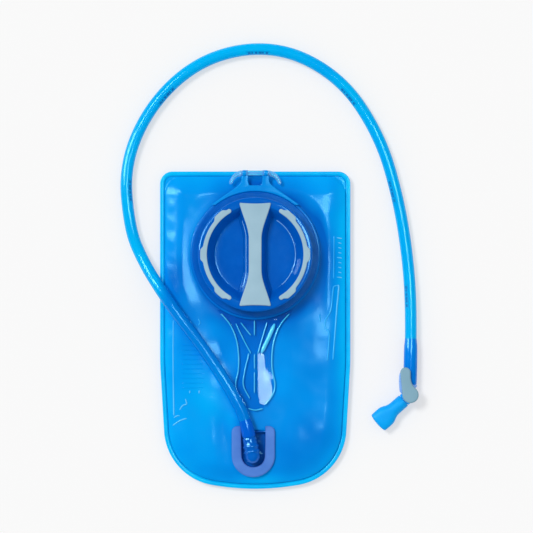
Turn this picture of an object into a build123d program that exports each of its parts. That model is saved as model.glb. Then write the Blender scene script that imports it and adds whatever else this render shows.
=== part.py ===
from build123d import *
from math import atan2, cos, pi, radians, sin, tan
import os

# Hydration bladder lying on its back: two welded films, a wide screw-cap fill port,
# an exit port and a drinking tube that ends in a bite valve with an on/off lever.
# Millimetres. +Z is up from the surface, +Y runs to the hanger, origin is under the middle.

# Bag
BAG_HALF_WIDTH = 85.5
BAG_TOP = 142.0
BAG_BOTTOM = -143.0
BAG_TOP_CORNER = 11.0
BAG_SIDE_BREAK = (BAG_HALF_WIDTH, -30.0)
BAG_SIDE_BREAK_RADIUS = 300.0
BAG_LOWER_CORNER_X = 79.5
BAG_LOWER_CORNER_RADIUS = 52.0
BAG_BOTTOM_RADIUS = 220.0
BAG_BOTTOM_RISE = 12.5
FILM = 0.8
WELD_WIDTH = 4.0
WELD_LOW = 5.6
WELD_HIGH = WELD_LOW + 2 * FILM
BAG_FRONT = 13.6
FRONT_ROUND = 5.2
BACK_ROUND = 4.6

# Fill port, on its own vertical axis
PORT_Y = 67.5
YOKE_RADIUS = 58.5
YOKE_THICK = 2.0
COLLAR_OUTER = 46.5
COLLAR_INNER = 43.2
COLLAR_TOP = 31.0
BASE_RING_RADIUS = 56.5
BASE_RING_THICK = 2.0

# Screw thread shared by the collar and the cap
STARTS = 4
LEAD = 24.0
RIDGE_WIDTH = 2.0
COLLAR_CREST = 48.6
CAP_CREST = 46.9
COLLAR_RIDGE_ARC = 75.0
CAP_RIDGE_ARC = 55.0
COLLAR_RIDGE_Z = 22.0
THREAD_GAP = 0.1
ROOT_BITE = 0.15

# Cap
CAP_RADIUS = 51.3
CAP_BORE = 49.0
SKIRT_LOW = 18.2
CAP_TOP = 36.0
ROOF_UNDER = 32.6
BOWL_TOP_RADIUS = 43.0
BOWL_FLOOR_RADIUS = 36.5
BOWL_FLOOR = 24.4
CAP_WALL = 1.8
GRIP_HALF_LENGTH = 46.0
GRIP_END_HALF = 14.2
GRIP_WAIST_HALF = 5.8
GRIP_END_DIP = 1.2
GRIP_THICK = 1.6
CORE_INSET = 0.5
CORE_FLARE = 4.2
SIDE_GRIP_INNER = 43.7
SIDE_GRIP_OUTER = 46.9
LOBE_OUTER = 49.0
LOBE_SPAN = 9.0
SIDE_GRIP_HALF_ARC = 59.0
SIDE_GRIP_THICK = 1.0
GASKET_INNER = 43.7
GASKET_OUTER = 46.4

# Hanger
TAB_LOW = BAG_FRONT + YOKE_THICK
TAB_THICK = 3.0
TAB_HALF = 12.4
TAB_TOP = 142.6
SLOT_HALF = 7.0
SLOT_BOTTOM = 129.4
BAR_RADIUS = 2.3
BAR_Y = 140.4
BAR_HALF = 14.0
POST_RADIUS = 2.6
POST_X = 9.7
POST_RISE = 1.2
TAB_NECK_Y = 132.0
TAB_CORNER = 2.0
TAB_FLARE_MIDDLE = (19.0, 125.0)
TAB_FLARE_END = (36.0, 114.6)
WING_THICK = 1.6
WING_CORNERS = [
    (12.2, 143.0),
    (16.5, 142.0),
    (21.0, 137.6),
    (23.4, 130.8),
    (20.2, 130.4),
    (16.0, 136.8),
    (12.2, 138.2),
]

# Carry handle, a ribbed moulding below the fill port
HANDLE_THICK = 1.8
HANDLE_RIB = 1.0
HANDLE_RIB_WIDTH = 2.4
HANDLE_RIB_LENGTH = 60.0
HANDLE_RIB_Y = -26.0
HANDLE_BOTTOM = -74.2
HANDLE_SIDE = [(27.0, 17.0), (20.5, 0.0), (15.8, -20.0), (18.5, -50.0), (6.2, -71.0)]

# Exit port
EXIT_X = -1.7
EXIT_TOP = -86.3
EXIT_HALF = 19.4
EXIT_ARC_Y = -112.7
SADDLE_THICK = 2.2
SADDLE_CORNER = 5.4
WELL_HALF = 10.5
WELL_TOP = -92.0
WELL_WALL = 1.4
WELL_FLOOR = 9.0
SOCKET_OUTER = 7.6
SOCKET_BORE = 5.05
SOCKET_LOW = 3.6
STEM = (-2.2, -113.2)
STEM_RADIUS = 4.9
STEM_LOW = 4.0
PLUG_RADIUS = 6.4
PLUG_RIB_RADIUS = 7.0
PLUG_Z = 20.0
PLUG_BASE = 10.5
PLUG_RIB_AT = (4.5, 9.0)
PLUG_RIB_WIDTH = 1.6
PLUG_BARB = 8.4
PLUG_BARB_BORE = 2.2
PLUG_STEM_BORE = 3.0
PLUG_GROOVE_DEPTH = 0.8
GROOVE_HALF = 0.55
RING_SECTION = 0.45
RING_SLACK = 0.01
PLUG_RING_Z = (5.6, 8.0)

# Drinking tube
TUBE_OUTER = 5.3
TUBE_BORE = 3.4
BARB_OVER = 0.3
BARB_AT = (3.0, 8.0, 13.0)
BARB_LENGTH = 3.0
ARC_SHARE = 0.45
TUBE_ROUTE = [
    (-5.4, -96.0, 20.0),
    (-8.3, -80.0, 20.6),
    (-24.0, -50.0, 21.2),
    (-47.0, -15.5, 20.2),
    (-65.5, 8.5, 19.8),
    (-83.0, 33.0, 20.0),
    (-100.0, 60.0, 8.8),
    (-113.0, 90.0, 5.4),
    (-118.0, 150.0, 5.4),
    (-91.0, 207.0, 5.4),
    (-43.0, 246.5, 5.4),
    (20.0, 255.5, 5.4),
    (76.0, 227.5, 5.4),
    (111.5, 175.5, 5.4),
    (129.0, 117.0, 5.4),
    (138.3, 56.0, 5.4),
    (140.3, 2.0, 8.0),
    (138.9, -50.0, 8.0),
]

# Bite valve assembly on the tube's end
PIVOT = (139.1, -58.4)
VALVE_Z = 8.0
HUB_RADIUS = 6.9
HUB_LOW = 1.1
HUB_TOP = 14.9
OUTLET_HEADING = (-0.751, -0.660)
NIPPLE_RADIUS = 4.4
NIPPLE_END = 18.5
FLOW_RADIUS = 2.5
INLET_RADIUS = 2.2
ELBOW_BARB = 21.0
FLANK_PLACE = (130.9, -47.5)
FLANK_SIZE = (3.0, 18.0)
FLANK_FOOT_PLACE = (132.4, -55.0)
FLANK_FOOT_SIZE = (6.0, 3.0)
FLANK_LOW = 2.6
FLANK_HEIGHT = 11.6
CORE_RADIUS = 4.4
CORE_CLEARANCE = 0.05
CORE_LOW = 2.9
CORE_REACH = 9.0
CORE_GROOVE_DEPTH = 0.85
CORE_RING_SECTION = 0.42
STUB_RADIUS = 2.4
STUB_HEIGHT = 1.6
CORE_RING_Z = (4.3, 12.6)
LEVER_LOW = 15.1
LEVER_THICK = 2.8
LEVER_RADIUS = 7.3
LEVER_TIP = (134.6, -38.3)
LEVER_TIP_RADIUS = 4.6
LEVER_NECK_HALF = 4.0
LEVER_ROOT = 3.0
LEVER_ROOT_HALF = 6.4
LEVER_NECK = 9.5
BITE_START = 7.8
BITE_NECK_RADIUS = 6.2
BITE_NECK_END = 20.2
BITE_SHOULDER = 28.3
BITE_MOUTH = 39.7
BITE_HALF_WIDTH = 9.4
BITE_HALF_HEIGHT = 5.6
BITE_WALL = 1.7
SLIT_WIDTH = 9.0
SLIT_GAP = 0.3
SLIT_DEPTH = 4.0

UP = (Align.CENTER, Align.CENTER, Align.MIN)


def cylinder(x, y, low, high, radius):
    return Pos(x, y, low) * Cylinder(radius, high - low, align=UP)


def ring(x, y, low, high, outer, inner):
    return cylinder(x, y, low, high, outer) - cylinder(x, y, low - 1, high + 1, inner)


def rod(start, end, radius):
    """A round rod between two points."""
    along = Vector(end) - Vector(start)
    plane = Plane(origin=start, z_dir=along)
    return plane * Cylinder(radius, along.length, align=UP)


def slab(face, low, high):
    return extrude(Pos(0, 0, low) * face, amount=high - low)


def upper_edges(part, z):
    return [e for e in part.edges() if abs(e.center().Z - z) < 1e-3 and e.bounding_box().size.Z < 1e-3]


def one_solid(part):
    solids = part.solids()
    return max(solids, key=lambda s: s.volume)


# ---- bag -------------------------------------------------------------------


def bag_outline(inset=0.0):
    """The bag's outline: square top with small corners, U-shaped bottom."""
    half_turn = atan2(BAG_BOTTOM_RISE, BAG_LOWER_CORNER_X)
    drop = BAG_BOTTOM_RADIUS * (1 / cos(half_turn) - 1)
    lower_x = BAG_LOWER_CORNER_X
    lower_y = BAG_BOTTOM - drop + BAG_BOTTOM_RISE
    points = [
        (BAG_HALF_WIDTH, BAG_TOP),
        BAG_SIDE_BREAK,
        (lower_x, lower_y),
        (0, BAG_BOTTOM - drop),
        (-lower_x, lower_y),
        (-BAG_SIDE_BREAK[0], BAG_SIDE_BREAK[1]),
        (-BAG_HALF_WIDTH, BAG_TOP),
    ]
    radii = [
        BAG_TOP_CORNER,
        BAG_SIDE_BREAK_RADIUS,
        BAG_LOWER_CORNER_RADIUS,
        BAG_BOTTOM_RADIUS,
        BAG_LOWER_CORNER_RADIUS,
        BAG_SIDE_BREAK_RADIUS,
        BAG_TOP_CORNER,
    ]
    face = make_face(FilletPolyline(*points, radius=radii, close=True))
    if inset:
        face = offset(face, -inset)
    return face


def u_face(half, top, corner=0.0, arc_y=EXIT_ARC_Y, centre=EXIT_X):
    """A U: straight sides, round bottom, flat top."""
    left = centre - half
    right = centre + half
    outline = Polyline((left, arc_y), (left, top), (right, top), (right, arc_y))
    outline += ThreePointArc((right, arc_y), (centre, arc_y - half), (left, arc_y))
    face = make_face(outline)
    if corner:
        tops = [v for v in face.vertices() if abs(v.Y - top) < 1e-3]
        face = fillet(tops, corner)
    return face


def film_dish(inset, low, high, rounding, round_at_top):
    dish = slab(bag_outline(inset), low, high)
    z = high if round_at_top else low
    return fillet(upper_edges(dish, z), rounding)


def front_film():
    outer = film_dish(WELD_WIDTH - FILM, WELD_HIGH, BAG_FRONT, FRONT_ROUND, True)
    inner = film_dish(WELD_WIDTH, WELD_HIGH, BAG_FRONT - FILM, FRONT_ROUND - FILM, True)
    film = outer - inner
    film -= cylinder(0, PORT_Y, BAG_FRONT - 3, BAG_FRONT + 1, COLLAR_OUTER)
    film -= slab(u_face(WELL_HALF + WELL_WALL, WELL_TOP + WELL_WALL), BAG_FRONT - 3, BAG_FRONT + 1)
    return one_solid(film)


def back_film():
    outer = film_dish(WELD_WIDTH - FILM, 0, WELD_LOW, BACK_ROUND, False)
    inner = film_dish(WELD_WIDTH, FILM, WELD_LOW, BACK_ROUND - FILM, False)
    return one_solid(outer - inner)


def perimeter_weld():
    return slab(bag_outline() - bag_outline(WELD_WIDTH), WELD_LOW, WELD_HIGH)


# ---- fill port and hanger ----------------------------------------------------


def port_yoke():
    plate = ring(0, PORT_Y, BAG_FRONT, BAG_FRONT + YOKE_THICK, YOKE_RADIUS, COLLAR_OUTER)
    return chamfer(upper_edges(plate, BAG_FRONT + YOKE_THICK), 0.5)


def hanger_tab():
    """The neck that flares from the hanger down to the fill port, with a slot for a hook."""
    flare_x, flare_y = TAB_FLARE_END
    middle_x, middle_y = TAB_FLARE_MIDDLE
    left_side = [(-TAB_HALF, TAB_NECK_Y), (-TAB_HALF, TAB_TOP)]
    right_side = [(TAB_HALF, TAB_TOP), (TAB_HALF, TAB_NECK_Y)]
    shoulders = Polyline(*left_side, *right_side)
    outline = shoulders + ThreePointArc((TAB_HALF, TAB_NECK_Y), (middle_x, middle_y), (flare_x, flare_y))
    outline += Line((flare_x, flare_y), (-flare_x, flare_y))
    outline += ThreePointArc((-flare_x, flare_y), (-middle_x, middle_y), (-TAB_HALF, TAB_NECK_Y))
    face = make_face(outline)
    tops = [v for v in face.vertices() if abs(v.Y - TAB_TOP) < 1e-3]
    face = fillet(tops, TAB_CORNER)
    face -= Pos(0, PORT_Y) * Circle(BASE_RING_RADIUS + 0.2)
    slot_height = TAB_TOP + 1 - SLOT_BOTTOM
    face -= Pos(0, SLOT_BOTTOM + slot_height / 2) * Rectangle(2 * SLOT_HALF, slot_height)
    tab = slab(face, TAB_LOW, TAB_LOW + TAB_THICK)
    for x in (-POST_X, POST_X):
        tab += cylinder(x, BAR_Y, TAB_LOW - 1, TAB_LOW + TAB_THICK + POST_RISE, POST_RADIUS)
    middle = TAB_LOW + TAB_THICK / 2
    tab -= rod((-20, BAR_Y, middle), (20, BAR_Y, middle), BAR_RADIUS)
    return tab


def wing(side):
    outline = Polyline(*[(side * x, y) for x, y in WING_CORNERS], close=True)
    middle = TAB_LOW + TAB_THICK / 2
    plate = slab(make_face(outline), middle - WING_THICK / 2, middle + WING_THICK / 2)
    return plate


def hanger_bar():
    middle = TAB_LOW + TAB_THICK / 2
    bar = rod((-BAR_HALF, BAR_Y, middle), (BAR_HALF, BAR_Y, middle), BAR_RADIUS)
    cutter = hanger_tab()
    wings = wing(1) - cutter
    wings += wing(-1) - cutter
    return bar + wings


def carry_handle():
    right = HANDLE_SIDE
    left = [(-x, y) for x, y in reversed(HANDLE_SIDE)]
    outline = Spline(*right)
    outline += ThreePointArc(right[-1], (0, HANDLE_BOTTOM), left[0])
    outline += Spline(*left)
    outline += Line(left[-1], right[0])
    face = make_face(outline) - Pos(0, PORT_Y) * Circle(YOKE_RADIUS + 0.1)
    low = BAG_FRONT
    high = low + HANDLE_THICK
    handle = slab(face, low, high)
    handle += Pos(0, HANDLE_RIB_Y, high) * Box(HANDLE_RIB_WIDTH, HANDLE_RIB_LENGTH, HANDLE_RIB, align=UP)
    return one_solid(handle)


def thread_ridge(radius, crest, arc, start_angle, start_z):
    """One helical ridge between two radii, either way round."""
    path = Helix(LEAD, LEAD * arc / 360, radius)
    profile = Plane(origin=path @ 0, x_dir=(1, 0, 0), z_dir=path % 0)
    depth = crest - radius
    section = profile * Pos(depth / 2, 0) * Rectangle(abs(depth), RIDGE_WIDTH)
    ridge = sweep(section, path=path, is_frenet=True)
    return Pos(0, PORT_Y, start_z) * Rot(0, 0, start_angle) * ridge


def fill_collar():
    collar = cylinder(0, PORT_Y, BAG_FRONT - FILM, COLLAR_TOP, COLLAR_OUTER)
    base_low = BAG_FRONT + YOKE_THICK
    base = cylinder(0, PORT_Y, base_low, base_low + BASE_RING_THICK, BASE_RING_RADIUS)
    base = chamfer(upper_edges(base, base_low + BASE_RING_THICK), 0.8)
    collar += base
    collar -= cylinder(0, PORT_Y, 0, 2 * COLLAR_TOP, COLLAR_INNER)
    for start in range(STARTS):
        angle = start * 360 / STARTS
        root = COLLAR_OUTER - ROOT_BITE
        collar += thread_ridge(root, COLLAR_CREST, COLLAR_RIDGE_ARC, angle, COLLAR_RIDGE_Z)
    return one_solid(collar)


# ---- cap ---------------------------------------------------------------------


def hourglass(inset=0.0, flare=0.0):
    """The centre bar seen from above: wide slightly hollow ends and a slim waist."""
    half = GRIP_HALF_LENGTH
    end = GRIP_END_HALF - inset + flare
    waist = GRIP_WAIST_HALF - inset + flare
    outline = ThreePointArc((end, half), (0, half - GRIP_END_DIP), (-end, half))
    outline += ThreePointArc((-end, half), (-waist, 0), (-end, -half))
    outline += ThreePointArc((-end, -half), (0, GRIP_END_DIP - half), (end, -half))
    outline += ThreePointArc((end, -half), (waist, 0), (end, half))
    return Pos(0, PORT_Y) * make_face(outline)


def bowl(grow, low, high):
    """The dished space inside the cap's sloping wall, grown outwards by a margin."""
    slope = (BOWL_TOP_RADIUS - BOWL_FLOOR_RADIUS) / (CAP_TOP - BOWL_FLOOR)
    low_radius = BOWL_FLOOR_RADIUS + (low - BOWL_FLOOR) * slope + grow
    high_radius = BOWL_FLOOR_RADIUS + (high - BOWL_FLOOR) * slope + grow
    return Pos(0, PORT_Y, low) * Cone(low_radius, high_radius, high - low, align=UP)


def cap_body():
    cap = cylinder(0, PORT_Y, SKIRT_LOW, CAP_TOP, CAP_RADIUS)
    cap = chamfer(upper_edges(cap, CAP_TOP), 1.6)
    hollow = cylinder(0, PORT_Y, SKIRT_LOW - 1, ROOF_UNDER, CAP_BORE)
    well_low = BOWL_FLOOR - CAP_WALL
    well = bowl(CAP_WALL, well_low, ROOF_UNDER)
    cap -= hollow
    cap += well
    cap -= bowl(0, BOWL_FLOOR, CAP_TOP)
    core_top = hourglass(CORE_INSET)
    core_base = hourglass(CORE_INSET, CORE_FLARE)
    core = loft([Pos(0, 0, BOWL_FLOOR - 0.5) * core_base, Pos(0, 0, CAP_TOP) * core_top])
    cap += core & bowl(0.4, BOWL_FLOOR - 0.5, CAP_TOP)
    cap_z = COLLAR_RIDGE_Z - RIDGE_WIDTH - THREAD_GAP
    lag = (COLLAR_RIDGE_ARC - CAP_RIDGE_ARC) / 2
    for start in range(STARTS):
        angle = start * 360 / STARTS + lag
        rise = LEAD * lag / 360
        root = CAP_BORE + ROOT_BITE
        cap += thread_ridge(root, CAP_CREST, CAP_RIDGE_ARC, angle, cap_z + rise)
    return one_solid(cap)


def cap_centre_grip():
    grip = slab(hourglass(), CAP_TOP, CAP_TOP + GRIP_THICK)
    return chamfer(upper_edges(grip, CAP_TOP + GRIP_THICK), 0.5)


def sector(inner, outer, start, end):
    """A flat piece of ring between two radii and two angles from +X."""
    a = radians(start)
    b = radians(end)
    m = (a + b) / 2
    outline = ThreePointArc(
        (inner * cos(a), inner * sin(a)), (inner * cos(m), inner * sin(m)), (inner * cos(b), inner * sin(b))
    )
    outline += Line((inner * cos(b), inner * sin(b)), (outer * cos(b), outer * sin(b)))
    outline += ThreePointArc(
        (outer * cos(b), outer * sin(b)), (outer * cos(m), outer * sin(m)), (outer * cos(a), outer * sin(a))
    )
    outline += Line((outer * cos(a), outer * sin(a)), (inner * cos(a), inner * sin(a)))
    return make_face(outline)


def side_grip(facing):
    """A crescent of soft grip with three wider lobes, centred on +X (0) or -X (180)."""
    half = SIDE_GRIP_HALF_ARC
    face = sector(SIDE_GRIP_INNER, SIDE_GRIP_OUTER, facing - half, facing + half)
    for middle in (-half + LOBE_SPAN, 0, half - LOBE_SPAN):
        start = facing + middle - LOBE_SPAN
        face += sector(SIDE_GRIP_INNER + 1, LOBE_OUTER, start, start + 2 * LOBE_SPAN)
    face = Pos(0, PORT_Y) * face
    return one_solid(slab(face, CAP_TOP, CAP_TOP + SIDE_GRIP_THICK))


def cap_gasket():
    return ring(0, PORT_Y, COLLAR_TOP, ROOF_UNDER, GASKET_OUTER, GASKET_INNER)


# ---- exit port ---------------------------------------------------------------


def exit_port_saddle():
    plate = slab(u_face(EXIT_HALF, EXIT_TOP, SADDLE_CORNER), BAG_FRONT, BAG_FRONT + SADDLE_THICK)
    plate = fillet(upper_edges(plate, BAG_FRONT + SADDLE_THICK), 1.2)
    plate -= slab(u_face(WELL_HALF, EXIT_TOP + 5), BAG_FRONT - 1, BAG_FRONT + SADDLE_THICK + 1)
    return one_solid(plate)


def exit_port_socket():
    """The sunk well under the saddle, with the bored boss that takes the plug."""
    wall_face = u_face(WELL_HALF + WELL_WALL, WELL_TOP + WELL_WALL)
    socket = slab(wall_face, WELL_FLOOR, BAG_FRONT)
    socket -= slab(u_face(WELL_HALF, WELL_TOP), WELL_FLOOR + WELL_WALL, BAG_FRONT + 1)
    socket += cylinder(*STEM, SOCKET_LOW, WELL_FLOOR + 0.5, SOCKET_OUTER)
    socket -= cylinder(*STEM, 0, BAG_FRONT, SOCKET_BORE)
    return one_solid(socket)


def plug_heading():
    start = Vector(*STEM, PLUG_Z)
    end = Vector(*TUBE_ROUTE[0][:2], PLUG_Z)
    return (end - start).normalized()


def tube_plug():
    """Ribbed elbow: sealed stem down into the socket, barb out into the tube."""
    corner = Vector(*STEM, PLUG_Z)
    out = plug_heading()
    face_end = Vector(*TUBE_ROUTE[0])
    barb_dir = (Vector(*TUBE_ROUTE[1]) - Vector(*TUBE_ROUTE[0])).normalized()
    plug = cylinder(*STEM, PLUG_BASE, PLUG_Z, PLUG_RADIUS)
    plug += Pos(*STEM, PLUG_Z) * Sphere(PLUG_RADIUS)
    plug += rod(corner, face_end, PLUG_RADIUS)
    for distance in PLUG_RIB_AT:
        middle = corner + out * distance
        half_rib = out * PLUG_RIB_WIDTH / 2
        plug += rod(middle - half_rib, middle + half_rib, PLUG_RIB_RADIUS)
    plug += cylinder(*STEM, STEM_LOW, PLUG_BASE + 1, STEM_RADIUS)
    plug += rod(face_end - barb_dir, face_end + barb_dir * PLUG_BARB, TUBE_BORE)
    plug -= rod(corner, face_end + barb_dir * (PLUG_BARB + 1), PLUG_BARB_BORE)
    plug -= cylinder(*STEM, 0, PLUG_Z, PLUG_STEM_BORE)
    for z in PLUG_RING_Z:
        groove_floor = STEM_RADIUS - PLUG_GROOVE_DEPTH
        plug -= ring(*STEM, z - GROOVE_HALF, z + GROOVE_HALF, STEM_RADIUS + 1, groove_floor)
    return one_solid(plug)


def plug_rings():
    centre_radius = STEM_RADIUS - PLUG_GROOVE_DEPTH + RING_SECTION + RING_SLACK
    return [Pos(*STEM, z) * Torus(centre_radius, RING_SECTION) for z in PLUG_RING_Z]


# ---- drinking tube -----------------------------------------------------------


def tube_path():
    points = [Vector(*p) for p in TUBE_ROUTE]
    radii = []
    for before, here, after in zip(points, points[1:], points[2:]):
        arriving = here - before
        leaving = after - here
        turn = arriving.get_angle(leaving)
        shorter = min(arriving.length, leaving.length)
        radii.append(ARC_SHARE * shorter / tan(radians(turn) / 2))
    print("tube arc radii:", [round(r) for r in radii])
    return FilletPolyline(*TUBE_ROUTE, radius=radii)


def drinking_tube():
    path = tube_path()
    start = Plane(origin=path @ 0, z_dir=path % 0)
    wall = start * (Circle(TUBE_OUTER) - Circle(TUBE_BORE))
    tube = sweep(wall, path=path)
    section = pi * (TUBE_OUTER**2 - TUBE_BORE**2)
    ratio = tube.volume / section / path.length
    print("tube length:", round(path.length, 1), "volume ratio:", round(ratio, 4))
    return tube


# ---- bite valve assembly -----------------------------------------------------


def pivot_point(z=VALVE_Z):
    return Vector(*PIVOT, z)


def outlet(distance):
    heading = Vector(*OUTLET_HEADING, 0).normalized()
    return pivot_point() + heading * distance


def inlet_heading():
    return (Vector(*TUBE_ROUTE[-2]) - Vector(*TUBE_ROUTE[-1])).normalized()


def valve_elbow():
    tube_end = Vector(*TUBE_ROUTE[-1])
    inward = inlet_heading()
    elbow = cylinder(*PIVOT, HUB_LOW, HUB_TOP, HUB_RADIUS)
    elbow += rod(pivot_point(), tube_end, TUBE_OUTER)
    elbow += rod(tube_end, tube_end + inward * ELBOW_BARB, TUBE_BORE)
    for distance in BARB_AT:
        seat = Plane(origin=tube_end + inward * distance, z_dir=inward)
        elbow += seat * Cone(TUBE_BORE + BARB_OVER, TUBE_BORE, BARB_LENGTH, align=UP)
    elbow += rod(pivot_point(), outlet(NIPPLE_END), NIPPLE_RADIUS)
    elbow += Pos(*FLANK_PLACE, FLANK_LOW) * Box(*FLANK_SIZE, FLANK_HEIGHT, align=UP)
    elbow += Pos(*FLANK_FOOT_PLACE, FLANK_LOW) * Box(*FLANK_FOOT_SIZE, FLANK_HEIGHT, align=UP)
    elbow -= cylinder(*PIVOT, CORE_LOW - 0.1, HUB_TOP + 1, CORE_RADIUS + CORE_CLEARANCE)
    elbow -= rod(pivot_point(), tube_end + inward * (ELBOW_BARB + 1), INLET_RADIUS)
    elbow -= rod(pivot_point(), outlet(NIPPLE_END + 1), FLOW_RADIUS)
    return one_solid(elbow)


def valve_core():
    core = cylinder(*PIVOT, CORE_LOW, LEVER_LOW, CORE_RADIUS)
    core += cylinder(*PIVOT, LEVER_LOW, LEVER_LOW + STUB_HEIGHT, STUB_RADIUS)
    core -= rod(pivot_point(), pivot_point() + inlet_heading() * CORE_REACH, INLET_RADIUS)
    core -= rod(pivot_point(), outlet(CORE_REACH), FLOW_RADIUS)
    for z in CORE_RING_Z:
        groove_floor = CORE_RADIUS - CORE_GROOVE_DEPTH
        core -= ring(*PIVOT, z - GROOVE_HALF, z + GROOVE_HALF, CORE_RADIUS + 1, groove_floor)
    return one_solid(core)


def core_rings():
    centre_radius = CORE_RADIUS - CORE_RING_SECTION
    return [Pos(*PIVOT, z) * Torus(centre_radius, CORE_RING_SECTION) for z in CORE_RING_Z]


def valve_lever():
    """Teardrop lever: round disc over the valve core and a thumb arm along the tube."""
    high = LEVER_LOW + LEVER_THICK
    lever = cylinder(*PIVOT, LEVER_LOW, high, LEVER_RADIUS)
    tip = Vector(*LEVER_TIP, 0)
    centre = Vector(*PIVOT, 0)
    along = (tip - centre).normalized()
    across = Vector(-along.Y, along.X, 0)
    root = centre + along * LEVER_ROOT
    neck = centre + along * LEVER_NECK
    corners = [
        root + across * LEVER_ROOT_HALF,
        neck + across * LEVER_NECK_HALF,
        tip + across * LEVER_TIP_RADIUS,
        tip - across * LEVER_TIP_RADIUS,
        neck - across * LEVER_NECK_HALF,
        root - across * LEVER_ROOT_HALF,
    ]
    face = make_face(Polyline(*[(c.X, c.Y) for c in corners], close=True))
    lever += slab(face, LEVER_LOW, high)
    lever += cylinder(*LEVER_TIP, LEVER_LOW, high, LEVER_TIP_RADIUS)
    lever -= cylinder(*PIVOT, LEVER_LOW - 1, LEVER_LOW + STUB_HEIGHT, STUB_RADIUS)
    return one_solid(lever)


def bite_section(distance, half_width, half_height):
    heading = Vector(*OUTLET_HEADING, 0).normalized()
    side = Vector(-heading.Y, heading.X, 0)
    plane = Plane(origin=outlet(distance), x_dir=side, z_dir=heading)
    return plane * Ellipse(half_width, half_height)


def bite_valve():
    """Silicone mouthpiece: round neck over the nipple, flared flat mouth with a slit."""
    neck = BITE_NECK_RADIUS
    stations = [
        (BITE_START, neck, neck - 0.02),
        (BITE_NECK_END, neck + 0.02, neck - 0.05),
        (BITE_SHOULDER, BITE_HALF_WIDTH, BITE_HALF_HEIGHT),
        (BITE_MOUTH - 1.2, BITE_HALF_WIDTH, BITE_HALF_HEIGHT - 0.4),
        (BITE_MOUTH, BITE_HALF_WIDTH - 1.6, BITE_HALF_HEIGHT - 1.4),
    ]
    body = loft([bite_section(*s) for s in stations], ruled=True)
    inside = [
        (NIPPLE_END, NIPPLE_RADIUS, NIPPLE_RADIUS - 0.02),
        (BITE_NECK_END, neck - BITE_WALL, neck - BITE_WALL - 0.02),
        (BITE_SHOULDER, BITE_HALF_WIDTH - BITE_WALL, BITE_HALF_HEIGHT - BITE_WALL),
        (BITE_MOUTH - 3, BITE_HALF_WIDTH - BITE_WALL, BITE_HALF_HEIGHT - BITE_WALL - 0.4),
    ]
    body -= loft([bite_section(*s) for s in inside], ruled=True)
    body -= rod(outlet(BITE_START - 1), outlet(NIPPLE_END + 0.01), NIPPLE_RADIUS + 0.05)
    heading = Vector(*OUTLET_HEADING, 0).normalized()
    slit = Plane(origin=outlet(BITE_MOUTH - SLIT_DEPTH), x_dir=(-heading.Y, heading.X, 0), z_dir=heading)
    body -= slit * Box(SLIT_WIDTH, SLIT_GAP, SLIT_DEPTH + 2, align=UP)
    return one_solid(body)


NODES = {
    "back_film": back_film,
    "front_film": front_film,
    "perimeter_weld": perimeter_weld,
    "port_yoke": port_yoke,
    "hanger_tab": hanger_tab,
    "hanger_bar": hanger_bar,
    "carry_handle": carry_handle,
    "fill_collar": fill_collar,
    "cap_gasket": cap_gasket,
    "cap_body": cap_body,
    "cap_centre_grip": cap_centre_grip,
    "cap_side_grip_left": lambda: side_grip(180),
    "cap_side_grip_right": lambda: side_grip(0),
    "exit_port_saddle": exit_port_saddle,
    "exit_port_socket": exit_port_socket,
    "tube_plug": tube_plug,
    "plug_seal_rings": plug_rings,
    "drinking_tube": drinking_tube,
    "valve_elbow": valve_elbow,
    "valve_core": valve_core,
    "valve_core_rings": core_rings,
    "valve_lever": valve_lever,
    "bite_valve": bite_valve,
}

os.makedirs("parts", exist_ok=True)
for name, make in NODES.items():
    shape = make()
    if isinstance(shape, list):
        shape = Compound(children=shape)
    export_step(shape, "parts/" + name + ".step")
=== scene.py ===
from math import atan2, cos, exp, pi, radians, sin, sqrt, tan

import bmesh
import bpy
import numpy as np
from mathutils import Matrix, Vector, noise
from mathutils.geometry import tessellate_polygon
from mathutils.kdtree import KDTree


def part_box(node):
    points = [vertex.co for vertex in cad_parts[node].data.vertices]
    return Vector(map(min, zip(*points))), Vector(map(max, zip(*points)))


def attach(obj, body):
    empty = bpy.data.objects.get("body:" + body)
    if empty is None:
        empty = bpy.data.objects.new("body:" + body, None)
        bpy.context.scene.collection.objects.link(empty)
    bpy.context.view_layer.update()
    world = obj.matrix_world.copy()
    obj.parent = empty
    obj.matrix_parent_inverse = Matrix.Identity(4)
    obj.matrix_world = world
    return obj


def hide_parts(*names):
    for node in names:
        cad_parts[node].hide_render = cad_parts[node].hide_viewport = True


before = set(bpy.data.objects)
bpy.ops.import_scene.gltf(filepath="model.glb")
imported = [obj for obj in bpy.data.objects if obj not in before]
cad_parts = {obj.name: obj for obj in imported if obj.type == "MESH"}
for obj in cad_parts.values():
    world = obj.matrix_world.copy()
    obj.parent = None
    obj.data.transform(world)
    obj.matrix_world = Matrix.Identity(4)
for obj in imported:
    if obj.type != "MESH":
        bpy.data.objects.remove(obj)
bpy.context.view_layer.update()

# Lengths in this script are millimetres in the frame's axes, and metres only in Blender's own calls.
MM = 0.001


def mm_box(node):
    low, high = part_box(node)
    return np.array(low) / MM, np.array(high) / MM


# ---- places read from the frame ------------------------------------------------

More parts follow.
